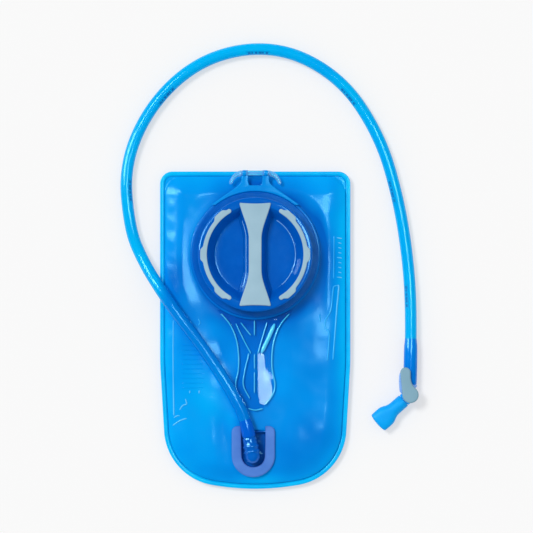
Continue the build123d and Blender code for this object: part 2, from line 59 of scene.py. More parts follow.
WELD_LO, WELD_HI = mm_box("perimeter_weld")
FILM_TOP = mm_box("front_film")[1][2]
COLLAR_LO, COLLAR_HI = mm_box("fill_collar")
YOKE_LO, YOKE_HI = mm_box("port_yoke")
CAP_LO, CAP_HI = mm_box("cap_body")
GRIP_LO, GRIP_HI = mm_box("cap_centre_grip")
SIDE_TOP = mm_box("cap_side_grip_right")[1][2]
TAB_LO, TAB_HI = mm_box("hanger_tab")
BAR_LO, BAR_HI = mm_box("hanger_bar")
HANDLE_LO = mm_box("carry_handle")[0]
SADDLE_LO, SADDLE_HI = mm_box("exit_port_saddle")
SOCKET_LO, SOCKET_HI = mm_box("exit_port_socket")
CORE_LO, CORE_HI = mm_box("valve_core")
LEVER_LO, LEVER_HI = mm_box("valve_lever")

PORT_X, PORT_Y = ((COLLAR_LO + COLLAR_HI) / 2)[:2]
PIVOT_X, PIVOT_Y = ((CORE_LO + CORE_HI) / 2)[:2]

# ---- mesh helpers --------------------------------------------------------------


def link(obj):
    bpy.context.scene.collection.objects.link(obj)
    return obj


def add_mesh(name, points, faces, material, body, sharp_above=38):
    """A mesh piece from points in millimetres, riding on a body."""
    mesh = bpy.data.meshes.new(name)
    mesh.from_pydata([tuple(float(c) * MM for c in p) for p in points], [], faces)
    mesh.validate()
    mesh.update()
    obj = link(bpy.data.objects.new(name, mesh))
    mesh.materials.append(material)
    mesh.shade_smooth()
    mesh.set_sharp_from_angle(angle=radians(sharp_above))
    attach(obj, body)
    return obj


def grid_faces(rows, columns, start=0, wrap=False):
    """Quads over a grid of points stored row by row. wrap joins the last column to the first."""
    faces = []
    across = columns if wrap else columns - 1
    for r in range(rows - 1):
        for c in range(across):
            d = (c + 1) % columns
            a = start + r * columns
            faces.append((a + c, a + d, a + columns + d, a + columns + c))
    return faces


def outward(obj):
    """Turns every face outwards on a closed piece."""
    work = bmesh.new()
    work.from_mesh(obj.data)
    bmesh.ops.recalc_face_normals(work, faces=work.faces)
    work.to_mesh(obj.data)
    work.free()
    return obj


def lathe(name, profile, centre, material, body, segments=160):
    """A closed profile of (radius, z) turned about a vertical axis."""
    points = []
    for radius, z in profile:
        for k in range(segments):
            a = 2 * pi * k / segments
            points.append((centre[0] + radius * cos(a), centre[1] + radius * sin(a), z))
    faces = grid_faces(len(profile), segments, wrap=True)
    last = (len(profile) - 1) * segments
    if profile[0][0] > 1e-6 and profile[-1][0] > 1e-6:
        for k in range(segments):
            n = (k + 1) % segments
            faces.append((last + k, last + n, n, k))
    obj = add_mesh(name, points, faces, material, body)
    merge_close(obj)
    return outward(obj)


def merge_close(obj, distance=1e-7):
    """Joins points that lie on each other, as at a lathe's axis."""
    work = bmesh.new()
    work.from_mesh(obj.data)
    bmesh.ops.remove_doubles(work, verts=work.verts, dist=distance)
    work.to_mesh(obj.data)
    work.free()


def filled(points, start, count):
    """Triangles that close a flat ring of points."""
    ring = [Vector(points[start + k]) for k in range(count)]
    return [tuple(start + k for k in triangle) for triangle in tessellate_polygon([ring])]


def loft(name, sections, material, body):
    """Closed rings of equal count joined in order, with flat ends."""
    count = len(sections[0])
    points = [p for s in sections for p in s]
    faces = grid_faces(len(sections), count, wrap=True)
    for start in (0, len(points) - count):
        faces += filled(points, start, count)
    return outward(add_mesh(name, points, faces, material, body))


def arc(cx, cy, radius, start, end, count):
    """Points on an arc, angles in degrees."""
    return [
        (cx + radius * cos(radians(a)), cy + radius * sin(radians(a)))
        for a in np.linspace(start, end, count)
    ]


def rounded(corners, radii, arc_points=24):
    """A closed outline whose corners are arcs of the given radii."""
    outline = []
    count = len(corners)
    for i in range(count):
        here = np.array(corners[i], float)
        before = np.array(corners[i - 1], float) - here
        after = np.array(corners[(i + 1) % count], float) - here
        before /= np.linalg.norm(before)
        after /= np.linalg.norm(after)
        half = np.arccos(np.clip(before @ after, -1, 1)) / 2
        radius = radii[i]
        if radius <= 0 or half > pi / 2 - 1e-3:
            outline.append(tuple(here))
            continue
        reach = radius / tan(half)
        middle = (before + after) / np.linalg.norm(before + after)
        centre = here + middle * radius / sin(half)
        first = here + before * reach - centre
        last = here + after * reach - centre
        a0 = atan2(first[1], first[0])
        turn = (atan2(last[1], last[0]) - a0 + pi) % (2 * pi) - pi
        for t in np.linspace(0, 1, arc_points):
            a = a0 + turn * t
            outline.append((centre[0] + radius * cos(a), centre[1] + radius * sin(a)))
    return outline


def lengths_along(points):
    """Distance from the first point to each point of a polyline."""
    steps = np.linalg.norm(np.diff(points, axis=0), axis=1)
    return np.concatenate([[0], np.cumsum(steps)])


def resample(points, count, closed=True):
    """Evenly spaced points on a polyline, starting at its first point."""
    p = np.array(points, float)
    if closed:
        p = np.vstack([p, p[:1]])
    at = lengths_along(p)
    wanted = np.linspace(0, at[-1], count + 1)[:-1] if closed else np.linspace(0, at[-1], count)
    return np.stack([np.interp(wanted, at, p[:, k]) for k in range(p.shape[1])], 1)


def inward(outline):
    """Inward unit normals of a closed anticlockwise outline."""
    along = np.roll(outline, -1, 0) - np.roll(outline, 1, 0)
    normal = np.stack([-along[:, 1], along[:, 0]], 1)
    return normal / np.linalg.norm(normal, axis=1)[:, None]


def plate(name, outline, rings, material, body):
    """A closed plate: rings of (inset, z) follow the outline from underneath to the top."""
    base = np.array(outline, float)
    area = np.sum(base[:, 0] * np.roll(base[:, 1], -1) - np.roll(base[:, 0], -1) * base[:, 1])
    if area < 0:
        base = base[::-1]
    normal = inward(base)
    sections = []
    for inset, z in rings:
        moved = base + normal * inset
        sections.append([(x, y, z) for x, y in moved])
    return loft(name, sections, material, body)


def edge_rings(low, high, radius, steps=5):
    """Rings for a plate with a rounded upper edge and a slightly rounded lower one."""
    small = min(radius, (high - low) / 4)
    rings = [(small * (1 - sin(a)), low + small * (1 - cos(a))) for a in np.linspace(0, pi / 2, 3)]
    rings += [(radius * (1 - cos(a)), high - radius * (1 - sin(a))) for a in np.linspace(0, pi / 2, steps)]
    return rings


def smoothstep(t):
    """0 to 1 with flat ends."""
    t = np.clip(t, 0, 1)
    return t * t * (3 - 2 * t)


# ---- materials -----------------------------------------------------------------


def node_material(name):
    material = bpy.data.materials.new(name)
    material.use_nodes = True
    tree = material.node_tree
    return material, tree, tree.nodes["Principled BSDF"]


def noise_node(tree, scale, detail=3.0, roughness=0.5):
    place = tree.nodes.new("ShaderNodeTexCoord")
    node = tree.nodes.new("ShaderNodeTexNoise")
    node.inputs["Scale"].default_value = scale
    node.inputs["Detail"].default_value = detail
    node.inputs["Roughness"].default_value = roughness
    tree.links.new(place.outputs["Object"], node.inputs["Vector"])
    return node


def ramp(tree, source, stops):
    """A colour ramp over a 0 to 1 value: stops are (position, (r, g, b))."""
    node = tree.nodes.new("ShaderNodeValToRGB")
    node.color_ramp.elements[0].position = stops[0][0]
    node.color_ramp.elements[0].color = (*stops[0][1], 1)
    node.color_ramp.elements[1].position = stops[-1][0]
    node.color_ramp.elements[1].color = (*stops[-1][1], 1)
    for position, colour in stops[1:-1]:
        extra = node.color_ramp.elements.new(position)
        extra.color = (*colour, 1)
    tree.links.new(source, node.inputs["Fac"])
    return node


def remap(tree, source, low, high):
    node = tree.nodes.new("ShaderNodeMapRange")
    node.inputs["From Min"].default_value = 0.3
    node.inputs["From Max"].default_value = 0.7
    node.inputs["To Min"].default_value = low
    node.inputs["To Max"].default_value = high
    tree.links.new(source, node.inputs["Value"])
    return node


def bump(tree, shader, source, strength, distance):
    node = tree.nodes.new("ShaderNodeBump")
    node.inputs["Strength"].default_value = strength
    node.inputs["Distance"].default_value = distance
    tree.links.new(source, node.inputs["Height"])
    tree.links.new(node.outputs["Normal"], shader.inputs["Normal"])


BLUE_SHEEN = (0.3, 0.8, 1.0)
PALE_SHEEN = (0.6, 0.9, 1.0)
WHITE_SHEEN = (1.0, 1.0, 1.0)


def surface(tree, shader, colour, roughness, grain, gloss, sheen):
    """Sets what every piece has: colour, roughness in patches (scale, low, high), grain and sheen.

    grain is (scale, detail, strength, depth in metres) of a bump, gloss the specular level."""
    tree.links.new(colour, shader.inputs["Base Color"])
    scale, low, high = roughness
    uneven = remap(tree, noise_node(tree, scale).outputs["Fac"], low, high)
    tree.links.new(uneven.outputs["Result"], shader.inputs["Roughness"])
    scale, detail, strength, depth = grain
    bump(tree, shader, noise_node(tree, scale, detail).outputs["Fac"], strength, depth)
    shader.inputs["Specular IOR Level"].default_value = gloss
    shader.inputs["Specular Tint"].default_value = (*sheen, 1)


def see_through(tree, shader, tint):
    """Mixes a tinted clear surface with the shader. Returns the share that the shader gets."""
    through = tree.nodes.new("ShaderNodeBsdfTransparent")
    through.inputs["Color"].default_value = (*tint, 1)
    mix = tree.nodes.new("ShaderNodeMixShader")
    tree.links.new(through.outputs["BSDF"], mix.inputs[1])
    tree.links.new(shader.outputs["BSDF"], mix.inputs[2])
    tree.links.new(mix.outputs["Shader"], tree.nodes["Material Output"].inputs["Surface"])
    return mix.inputs["Fac"]


def moulded(name, dark, light, rough, grain=0.02, gloss=0.2, sheen=BLUE_SHEEN):
    """Moulded plastic: faint colour drift, uneven gloss and a fine surface grain."""
    material, tree, shader = node_material(name)
    colour = ramp(tree, noise_node(tree, 60.0).outputs["Fac"], [(0.3, dark), (0.7, light)])
    patches = (240.0, rough * 0.85, rough * 1.2)
    surface(tree, shader, colour.outputs["Color"], patches, (2500.0, 3.0, grain, 0.0001), gloss, sheen)
    return material


def film_material(name, shades, rough, waves):
    """Welded film: its colour follows the painted light, shade and tone stored on its points, with soft drift,
    gloss and tiny waves.
    """
    material, tree, shader = node_material(name)
    tone = tree.nodes.new("ShaderNodeAttribute")
    tone.attribute_name = "tone"
    drift = noise_node(tree, 18.0, 2.0)
    add = tree.nodes.new("ShaderNodeMath")
    add.operation = "MULTIPLY_ADD"
    add.inputs[1].default_value = 0.3
    tree.links.new(drift.outputs["Fac"], add.inputs[0])
    tree.links.new(tone.outputs["Fac"], add.inputs[2])
    colour = ramp(tree, add.outputs["Value"], [(0.15, shades[0]), (0.5, shades[1]), (0.95, shades[2])])
    patches = (40.0, rough * 0.8, rough * 1.3)
    surface(tree, shader, colour.outputs["Color"], patches, (120.0, 4.0, waves, 0.0006), 0.2, BLUE_SHEEN)
    return material


def clear_material(name, tint, rough, face_on, edge_on, metallic, behind):
    """Clear moulding: see-through, with a surface that shows more where it turns away."""
    material, tree, shader = node_material(name)
    paler = tuple(0.75 * c + 0.25 for c in tint)
    colour = ramp(tree, noise_node(tree, 60.0, 2.0).outputs["Fac"], [(0.3, tint), (0.7, paler)])
    patches = (200.0, rough * 0.7, rough * 1.5)
    surface(tree, shader, colour.outputs["Color"], patches, (500.0, 3.0, 0.05, 0.0002), 0.5, PALE_SHEEN)
    shader.inputs["Metallic"].default_value = metallic
    facing = tree.nodes.new("ShaderNodeLayerWeight")
    facing.inputs["Blend"].default_value = 0.3
    share = tree.nodes.new("ShaderNodeMapRange")
    share.inputs["To Min"].default_value = face_on
    share.inputs["To Max"].default_value = edge_on
    tree.links.new(facing.outputs["Facing"], share.inputs["Value"])
    tree.links.new(share.outputs["Result"], see_through(tree, shader, behind))
    return material


def fade(tree, value, full, none):
    """1 up to one limit, falling to 0 at the next."""
    step = tree.nodes.new("ShaderNodeMapRange")
    step.inputs["From Min"].default_value = full
    step.inputs["From Max"].default_value = none
    step.inputs["To Min"].default_value = 1.0
    step.inputs["To Max"].default_value = 0.0
    tree.links.new(value, step.inputs["Value"])
    return step.outputs["Result"]


# The hose is painted darker over the bag, a painted shade for the blue bag behind it: limits in metres, full up
# to the first, gone at the second.
OVER_BAG_X = (0.078, 0.09)
OVER_BAG_Y = (0.1, 0.12)
OVER_BAG_SHADE = (1.0, 0.55, 0.85)


def over_bag(tree):
    """1 over the bag and 0 off it."""
    where = tree.nodes.new("ShaderNodeTexCoord")
    place = tree.nodes.new("ShaderNodeSeparateXYZ")
    tree.links.new(where.outputs["Object"], place.inputs["Vector"])
    aside = tree.nodes.new("ShaderNodeMath")
    aside.operation = "ABSOLUTE"
    tree.links.new(place.outputs["X"], aside.inputs[0])
    both = tree.nodes.new("ShaderNodeMath")
    both.operation = "MULTIPLY"
    tree.links.new(fade(tree, aside.outputs["Value"], *OVER_BAG_X), both.inputs[0])
    tree.links.new(fade(tree, place.outputs["Y"], *OVER_BAG_Y), both.inputs[1])
    return both.outputs["Value"]


def tube_material(name, dark, light, clearness, tint):
    """Translucent hose: what lies behind it shows through, tinted, and its colour is painted darker over the
    bag.
    """
    material, tree, shader = node_material(name)
    colour = ramp(tree, noise_node(tree, 25.0, 2.0).outputs["Fac"], [(0.35, dark), (0.65, light)])
    shaded = tree.nodes.new("ShaderNodeMix")
    shaded.data_type = "RGBA"
    shaded.blend_type = "MULTIPLY"
    shaded.inputs["B"].default_value = (*OVER_BAG_SHADE, 1)
    tree.links.new(over_bag(tree), shaded.inputs["Factor"])
    tree.links.new(colour.outputs["Color"], shaded.inputs["A"])
    patches = (300.0, 0.08, 0.14)
    surface(tree, shader, shaded.outputs["Result"], patches, (900.0, 3.0, 0.05, 0.0001), 0.4, BLUE_SHEEN)
    see_through(tree, shader, tint).default_value = 1 - clearness
    return material


# Film colours from dark to light, picked by the painted light, shade and tone on the film.
FILM_SHADES = [(0.0, 0.13, 0.56), (0.0, 0.29, 0.83), (0.0, 0.47, 0.97)]
# Paler colours for the embossed lines: a painted glint along them.
EMBOSS_GLINT_SHADES = [(0.0, 0.3, 0.85), (0.04, 0.48, 0.96), (0.25, 0.7, 1.0)]
FILM = film_material("film_blue", FILM_SHADES, 0.15, 0.06)
FILM_GLINT = film_material("film_embossed", EMBOSS_GLINT_SHADES, 0.14, 0.12)
WELD = moulded("weld_cyan", (0.0, 0.42, 0.88), (0.0, 0.52, 0.95), 0.2)
SEAM_LINE = moulded("seam_dark_blue", (0.0, 0.1, 0.56), (0.0, 0.13, 0.64), 0.3)
PORT_BLUE = moulded("port_blue", (0.0, 0.25, 0.74), (0.0, 0.3, 0.8), 0.2, gloss=0.15)
YOKE_BLUE = moulded("yoke_blue", (0.0, 0.15, 0.6), (0.0, 0.18, 0.66), 0.2, gloss=0.15)
# Pale blue for thin raised lines in the cap's bowl: a painted highlight where small fillets would mirror the
# light.
CAP_HIGHLIGHT = moulded("cap_painted_highlight", (0.16, 0.46, 0.92), (0.26, 0.58, 0.96), 0.12, gloss=0.6)
COLLAR_BLUE = moulded("collar_blue", (0.0, 0.1, 0.48), (0.0, 0.12, 0.54), 0.16)
CAP_BLUE = moulded("cap_blue", (0.0, 0.1, 0.5), (0.0, 0.12, 0.56), 0.1, gloss=0.4)
GRIP_GREY = moulded("soft_grip_grey", (0.28, 0.45, 0.56), (0.32, 0.5, 0.61), 0.6, 0.2, sheen=WHITE_SHEEN)
LEVER_GREY = moulded("lever_grey", (0.18, 0.35, 0.45), (0.2, 0.38, 0.49), 0.5, 0.15, sheen=WHITE_SHEEN)
CLEAR = clear_material("clear_moulding", (0.12, 0.56, 0.9), 0.12, 0.3, 0.85, 0.0, (0.75, 0.92, 1.0))
# Opaque pale cyan for the ribs, rim, brace and lines of the clear mouldings: a painted highlight where their
# edges catch the light.
CLEAR_HIGHLIGHT = moulded("clear_rib_highlight", (0.03, 0.55, 0.92), (0.12, 0.68, 0.97), 0.15, gloss=0.5)
CLEAR_FLAT = clear_material("clear_sheet", (0.46, 0.88, 1.0), 0.05, 0.022, 0.3, 1.0, (0.9, 0.93, 0.98))
SADDLE = moulded("saddle_violet", (0.06, 0.17, 0.58), (0.09, 0.22, 0.66), 0.5, 0.12)
SOCKET_DARK = moulded("socket_dark", (0.0, 0.07, 0.4), (0.0, 0.1, 0.48), 0.16, gloss=0.5)
PLUG_BLUE = moulded("plug_blue", (0.0, 0.08, 0.48), (0.0, 0.12, 0.56), 0.14, gloss=0.6)
TUBE = tube_material("tube_cyan", (0.0, 0.46, 0.95), (0.0, 0.54, 0.98), 0.3, (0.02, 0.8, 1.0))
TUBE_END = tube_material("tube_over_barb", (0.0, 0.2, 0.78), (0.0, 0.24, 0.84), 0.1, (0.2, 0.7, 1.0))
INK = moulded("printed_ink", (0.0, 0.14, 0.46), (0.0, 0.17, 0.52), 0.4)
VALVE_PALE = moulded("valve_body_pale", (0.2, 0.4, 0.86), (0.25, 0.46, 0.92), 0.3)
SILICONE = moulded("silicone_blue", (0.0, 0.34, 0.88), (0.0, 0.4, 0.94), 0.42)
GASKET = moulded("gasket_pale", (0.75, 0.78, 0.8), (0.82, 0.85, 0.87), 0.5, sheen=WHITE_SHEEN)
SEAL = moulded("seal_black", (0.02, 0.02, 0.025), (0.035, 0.035, 0.04), 0.45, sheen=WHITE_SHEEN)

# ---- camera, floor and light ---------------------------------------------------

VIEW_X, VIEW_Y = 10.1, 56.7
VIEW_WIDTH = 479.7
CAMERA_HEIGHT = 3500.0
SENSOR = 36.0
FLOOR_HALF = 6.0
FLOOR_GLOW = 0.5
ROOM_LIGHT = 0.64
ROOM_REFLECTION = 0.02
SUN_DIRECTION, SUN_STRENGTH, SUN_ANGLE = (0.5, -0.4, -1.0), 1.6, 16
# Softboxes: place in metres, size in metres and power in watts.
SOFTBOXES = {
    "right_softbox": ((0.75, 0.35, 2.6), (0.45, 1.2), 38.0),
    "left_softbox": ((-2.3, 0.75, 1.7), (0.9, 1.8), 130.0),
}


def make_camera():
    data = bpy.data.cameras.new("camera")
    data.sensor_width = SENSOR
    data.lens = SENSOR * CAMERA_HEIGHT / VIEW_WIDTH
    data.clip_end = 20.0
    camera = link(bpy.data.objects.new("camera", data))
    camera.location = (VIEW_X * MM, VIEW_Y * MM, CAMERA_HEIGHT * MM)
    bpy.context.scene.camera = camera


def make_floor():
    mesh = bpy.data.meshes.new("floor")
    corners = [(x * FLOOR_HALF, y * FLOOR_HALF, 0) for x, y in ((-1, -1), (1, -1), (1, 1), (-1, 1))]
    mesh.from_pydata(corners, [], [(0, 1, 2, 3)])
    floor = link(bpy.data.objects.new("floor", mesh))
    material, tree, shader = node_material("floor_white")
    shader.inputs["Base Color"].default_value = (0.9, 0.9, 0.9, 1)
    shader.inputs["Roughness"].default_value = 0.95
    shader.inputs["Specular IOR Level"].default_value = 0.0
    glow = tree.nodes.new("ShaderNodeEmission")
    glow.inputs["Color"].default_value = (0.94, 0.94, 0.94, 1)
    mix = tree.nodes.new("ShaderNodeMixShader")
    mix.inputs["Fac"].default_value = FLOOR_GLOW
    tree.links.new(shader.outputs["BSDF"], mix.inputs[1])
    tree.links.new(glow.outputs["Emission"], mix.inputs[2])
    tree.links.new(mix.outputs["Shader"], tree.nodes["Material Output"].inputs["Surface"])
    mesh.materials.append(material)


def aim(obj, direction):
    """Points a light along a direction."""
    obj.rotation_euler = Vector(direction).to_track_quat("-Z", "Y").to_euler()


def make_sun(name, direction, strength, angle):
    data = bpy.data.lights.new(name, "SUN")
    data.energy = strength
    data.angle = radians(angle)
    aim(link(bpy.data.objects.new(name, data)), direction)


def make_panel(name, place, size, power):
    """A softbox that faces the object and only shows in its glossy surfaces."""
    data = bpy.data.lights.new(name, "AREA")
    data.shape = "RECTANGLE"
    data.size, data.size_y = size
    data.energy = power
    obj = link(bpy.data.objects.new(name, data))
    obj.location = place
    obj.visible_diffuse = False
    aim(obj, Vector((VIEW_X * MM, VIEW_Y * MM, 0)) - Vector(place))


def make_light():
    world = bpy.data.worlds.new("world")
    bpy.context.scene.world = world
    world.use_nodes = True
    world.cycles.sampling_method = "NONE"
    tree = world.node_tree
    soft = tree.nodes["Background"]
    soft.inputs["Color"].default_value = (1, 1, 1, 1)
    soft.inputs["Strength"].default_value = ROOM_LIGHT
    dark = tree.nodes.new("ShaderNodeBackground")
    dark.inputs["Strength"].default_value = ROOM_REFLECTION
    path = tree.nodes.new("ShaderNodeLightPath")
    mix = tree.nodes.new("ShaderNodeMixShader")
    tree.links.new(path.outputs["Is Glossy Ray"], mix.inputs["Fac"])
    tree.links.new(soft.outputs["Background"], mix.inputs[1])
    tree.links.new(dark.outputs["Background"], mix.inputs[2])
    tree.links.new(mix.outputs["Shader"], tree.nodes["World Output"].inputs["Surface"])
    make_sun("key", SUN_DIRECTION, SUN_STRENGTH, SUN_ANGLE)
    for name, box in SOFTBOXES.items():
        make_panel(name, *box)


make_camera()
make_floor()
make_light()
bpy.context.scene.view_settings.view_transform = "Standard"

# ---- drinking tube -------------------------------------------------------------

TUBE_RADIUS = 5.3
TUBE_ROUTE = [
    (-0.0054, -0.0960, 0.0200),
    (-0.0083, -0.0800, 0.0206),
    (-0.0240, -0.0500, 0.0212),
    (-0.0470, -0.0155, 0.0202),
    (-0.0655, 0.0085, 0.0198),
    (-0.0830, 0.0330, 0.0200),
    (-0.1000, 0.0600, 0.0088),
    (-0.1130, 0.0900, 0.0054),
    (-0.1180, 0.1500, 0.0054),
    (-0.0910, 0.2070, 0.0054),
    (-0.0430, 0.2465, 0.0054),
    (0.0200, 0.2555, 0.0054),
    (0.0760, 0.2275, 0.0054),
    (0.1115, 0.1755, 0.0054),
    (0.1290, 0.1170, 0.0054),
    (0.1383, 0.0560, 0.0054),
    (0.1403, 0.0020, 0.0080),
    (0.1389, -0.0500, 0.0080),
]


def make_tube():
    data = bpy.data.curves.new("drinking_tube_hose", "CURVE")
    data.dimensions = "3D"
    spline = data.splines.new("NURBS")
    spline.points.add(len(TUBE_ROUTE) - 1)
    for point, place in zip(spline.points, TUBE_ROUTE):
        point.co = (*place, 1)
    spline.order_u = 3
    spline.use_endpoint_u = True
    spline.resolution_u = 24
    data.bevel_depth = TUBE_RADIUS * MM
    data.bevel_resolution = 8
    data.use_fill_caps = True
    data.materials.append(TUBE)
    tube = link(bpy.data.objects.new("drinking_tube_hose", data))
    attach(tube, "bladder")
    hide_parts("drinking_tube")
    return tube


def centreline(tube):
    """The tube's own spline as points in millimetres."""
    copy = tube.data.copy()
    copy.bevel_depth = 0
    copy.use_fill_caps = False
    probe = link(bpy.data.objects.new("probe", copy))
    bpy.context.view_layer.update()
    graph = bpy.context.evaluated_depsgraph_get()
    mesh = bpy.data.meshes.new_from_object(probe.evaluated_get(graph))
    line = np.array([tuple(v.co) for v in mesh.vertices]) / MM
    bpy.data.objects.remove(probe)
    bpy.data.meshes.remove(mesh)
    return line


def along_line(line, distance):
    """Point, heading and level sideways direction at a distance along the tube."""
    at = lengths_along(line)
    place = np.array([np.interp(distance, at, line[:, k]) for k in range(3)])
    ahead = np.array([np.interp(distance + 0.5, at, line[:, k]) for k in range(3)])
    behind = np.array([np.interp(distance - 0.5, at, line[:, k]) for k in range(3)])
    heading = (ahead - behind) / np.linalg.norm(ahead - behind)
    side = np.cross(heading, (0, 0, 1))
    side /= np.linalg.norm(side)
    return place, heading, side, np.cross(side, heading)


tube = make_tube()
LINE = centreline(tube)
TUBE_LENGTH = lengths_along(LINE)[-1]

# ---- bag films -------------------------------------------------------------------

TOP_CORNER = 11.0
SIDE_BREAK_Y, SIDE_BREAK_RADIUS = -30.0, 300.0
LOWER_CORNER_X, LOWER_CORNER_RADIUS = 79.5, 52.0
BOTTOM_RADIUS, BOTTOM_RISE = 220.0, 12.5
WELD_WIDTH = 3.3
WELD_Z = 6.4
SEAM_WIDTH = 1.0
ROLL_WIDTH = 17.0
BACK_ROLL_WIDTH = 11.0
COLLAR_HOLE = 46.2
OUTLINE_POINTS = 880
FILM_RINGS = 104
FLAT_UNDER = FILM_TOP - 0.25
FILM_THICK = 0.4
SADDLE_HALF = (SADDLE_HI[0] - SADDLE_LO[0]) / 2


def bag_outline():
    """The welded edge, anticlockwise from the middle of the top."""
    half, top, bottom = WELD_HI[0], WELD_HI[1], WELD_LO[1]
    half_turn = atan2(BOTTOM_RISE, LOWER_CORNER_X)
    drop = BOTTOM_RADIUS * (1 / cos(half_turn) - 1)
    left = [(-half, top), (-half, SIDE_BREAK_Y), (-LOWER_CORNER_X, bottom - drop + BOTTOM_RISE)]
    radii = [TOP_CORNER, SIDE_BREAK_RADIUS, LOWER_CORNER_RADIUS]
    corners = [(0, top)] + left + [(0, bottom - drop)] + [(-x, y) for x, y in reversed(left)]
    return rounded(corners, [0] + radii + [BOTTOM_RADIUS] + radii[::-1], 60)


OUTLINE = resample(bag_outline(), OUTLINE_POINTS)
OUTLINE_IN = inward(OUTLINE)
if np.dot(OUTLINE_IN[0], (0, -1)) < 0:
    OUTLINE_IN = -OUTLINE_IN


def make_tree():
    tree = KDTree(len(OUTLINE))
    for i, (x, y) in enumerate(OUTLINE):
        tree.insert((x, y, 0), i)
    tree.balance()
    return tree


EDGE_TREE = make_tree()


def inset_of(points):
    """How far each point lies inside the welded edge."""
    out = np.empty(len(points))
    for k, (x, y) in enumerate(points):
        _, i, _ = EDGE_TREE.find((x, y, 0))
        out[k] = (x - OUTLINE[i, 0]) * OUTLINE_IN[i, 0] + (y - OUTLINE[i, 1]) * OUTLINE_IN[i, 1]
    return out


def soft_noise(points, size, seed):
    """Smooth noise from -1 to 1 with features of a size in millimetres."""
    return np.array([noise.noise(Vector((x / size + seed, y / size - seed, seed))) for x, y in points])


# Broad swells of the part-filled bag: place, reach along x and y, height and turn in degrees.
SWELLS = [
    (40.0, 121.0, 17.0, 24.0, 2.4, 28),
    (60.0, 92.0, 13.0, 24.0, 2.0, 14),
    (-58.0, 126.0, 20.0, 16.0, 1.0, -35),
    (-66.0, 60.0, 9.0, 40.0, 0.8, 0),
    (-44.0, -62.0, 22.0, 34.0, 1.5, 20),
    (-30.0, -14.0, 12.0, 20.0, -1.6, 35),
    (44.0, -30.0, 20.0, 46.0, 1.2, -8),
    (40.0, -100.0, 34.0, 16.0, 1.3, 24),
    (-52.0, -104.0, 22.0, 18.0, 1.0, -35),
    (62.0, 22.0, 10.0, 40.0, -0.4, 4),
    (24.0, -78.0, 12.0, 24.0, -1.2, -30),
    (-26.0, -88.0, 9.0, 22.0, -1.3, 8),
]


def hills(points, places, ground=0.0):
    """A ground level plus bell-shaped hills: (x, y, x reach, y reach, height, turn in degrees)."""
    total = np.full(len(points), ground)
    for x, y, rx, ry, height, turn in places:
        c, s = cos(radians(turn)), sin(radians(turn))
        u = (points[:, 0] - x) * c + (points[:, 1] - y) * s
        v = -(points[:, 0] - x) * s + (points[:, 1] - y) * c
        total += height * np.exp(-(u / rx) ** 2 - (v / ry) ** 2)
    return total


EXIT_X, EXIT_ARC_Y = (SADDLE_LO[0] + SADDLE_HI[0]) / 2, SADDLE_LO[1] + SADDLE_HALF
WELL_WALL = 1.4
WELL_HALF = (SOCKET_HI[0] - SOCKET_LO[0]) / 2 - WELL_WALL
WELL_TOP = SOCKET_HI[1] - WELL_WALL


def well_distance(points):
    """Distance outside the exit well's U, negative within it."""
    x = np.abs(points[:, 0] - EXIT_X)
    y = points[:, 1]
    low = np.hypot(x, np.minimum(y - EXIT_ARC_Y, 0)) - WELL_HALF
    side = np.where(y < EXIT_ARC_Y, low, x - WELL_HALF)
    return np.maximum(side, y - WELL_TOP)


def fixture_distance(points):
    """Distance outside the parts that are welded flat to the front film."""
    port = np.hypot(points[:, 0] - PORT_X, points[:, 1] - PORT_Y) - YOKE_HI[0]
    saddle = np.hypot(
        np.maximum(np.abs(points[:, 0] - EXIT_X) - SADDLE_HALF, 0),
        np.maximum(np.maximum(points[:, 1] - SADDLE_HI[1], SADDLE_LO[1] - points[:, 1]), 0),
    )
    handle = np.hypot(
        np.maximum(np.abs(points[:, 0]) - 17, 0),
        np.maximum(np.maximum(points[:, 1] - PORT_Y, HANDLE_LO[1] - points[:, 1]), 0),
    )
    neck = np.hypot(np.maximum(np.abs(points[:, 0]) - 20, 0), np.maximum(PORT_Y - points[:, 1], 0))
    return np.maximum(np.minimum(np.minimum(port, saddle), np.minimum(handle, neck)), 0)


def film_height(points):
    """Height of the front film's outer face at points in the plane."""
    points = np.asarray(points, float)
    d = inset_of(points)
    shoulder = ROLL_WIDTH + WELD_WIDTH + SEAM_WIDTH
    near_top = np.maximum(shoulder - (WELD_HI[1] - points[:, 1]), 0)
    near_side = np.maximum(shoulder - (WELD_HI[0] - np.abs(points[:, 0])), 0)
    rounded_in = np.where(near_top > 0, shoulder - np.hypot(near_top, near_side), d)
    u = np.clip((np.minimum(d, rounded_in) - WELD_WIDTH - SEAM_WIDTH) / ROLL_WIDTH, 0, 1)
    rise = np.sqrt(1 - (1 - u) ** 2) * 0.65 + smoothstep(u) * 0.35
    z = WELD_Z + 0.7 + (FLAT_UNDER - WELD_Z - 0.7) * rise
    inner = smoothstep((d - 4) / 22)
    free = smoothstep(fixture_distance(points) / 16)
    waves = hills(points, SWELLS) + 0.55 * soft_noise(points, 34, 3.7) + 0.22 * soft_noise(points, 13, 9.1)
    z = z + waves * inner * free
    edge = smoothstep((d - 4.3) / 3) * (1 - smoothstep((d - 9) / 9))
    z = z + 0.3 * soft_noise(points, 9, 5.3) * edge * free
    z = z - 0.5 * inner * (1 - free)
    well = smoothstep((well_distance(points) - 0.4) / 0.8)
    return z * well + (1 - well) * 8.4
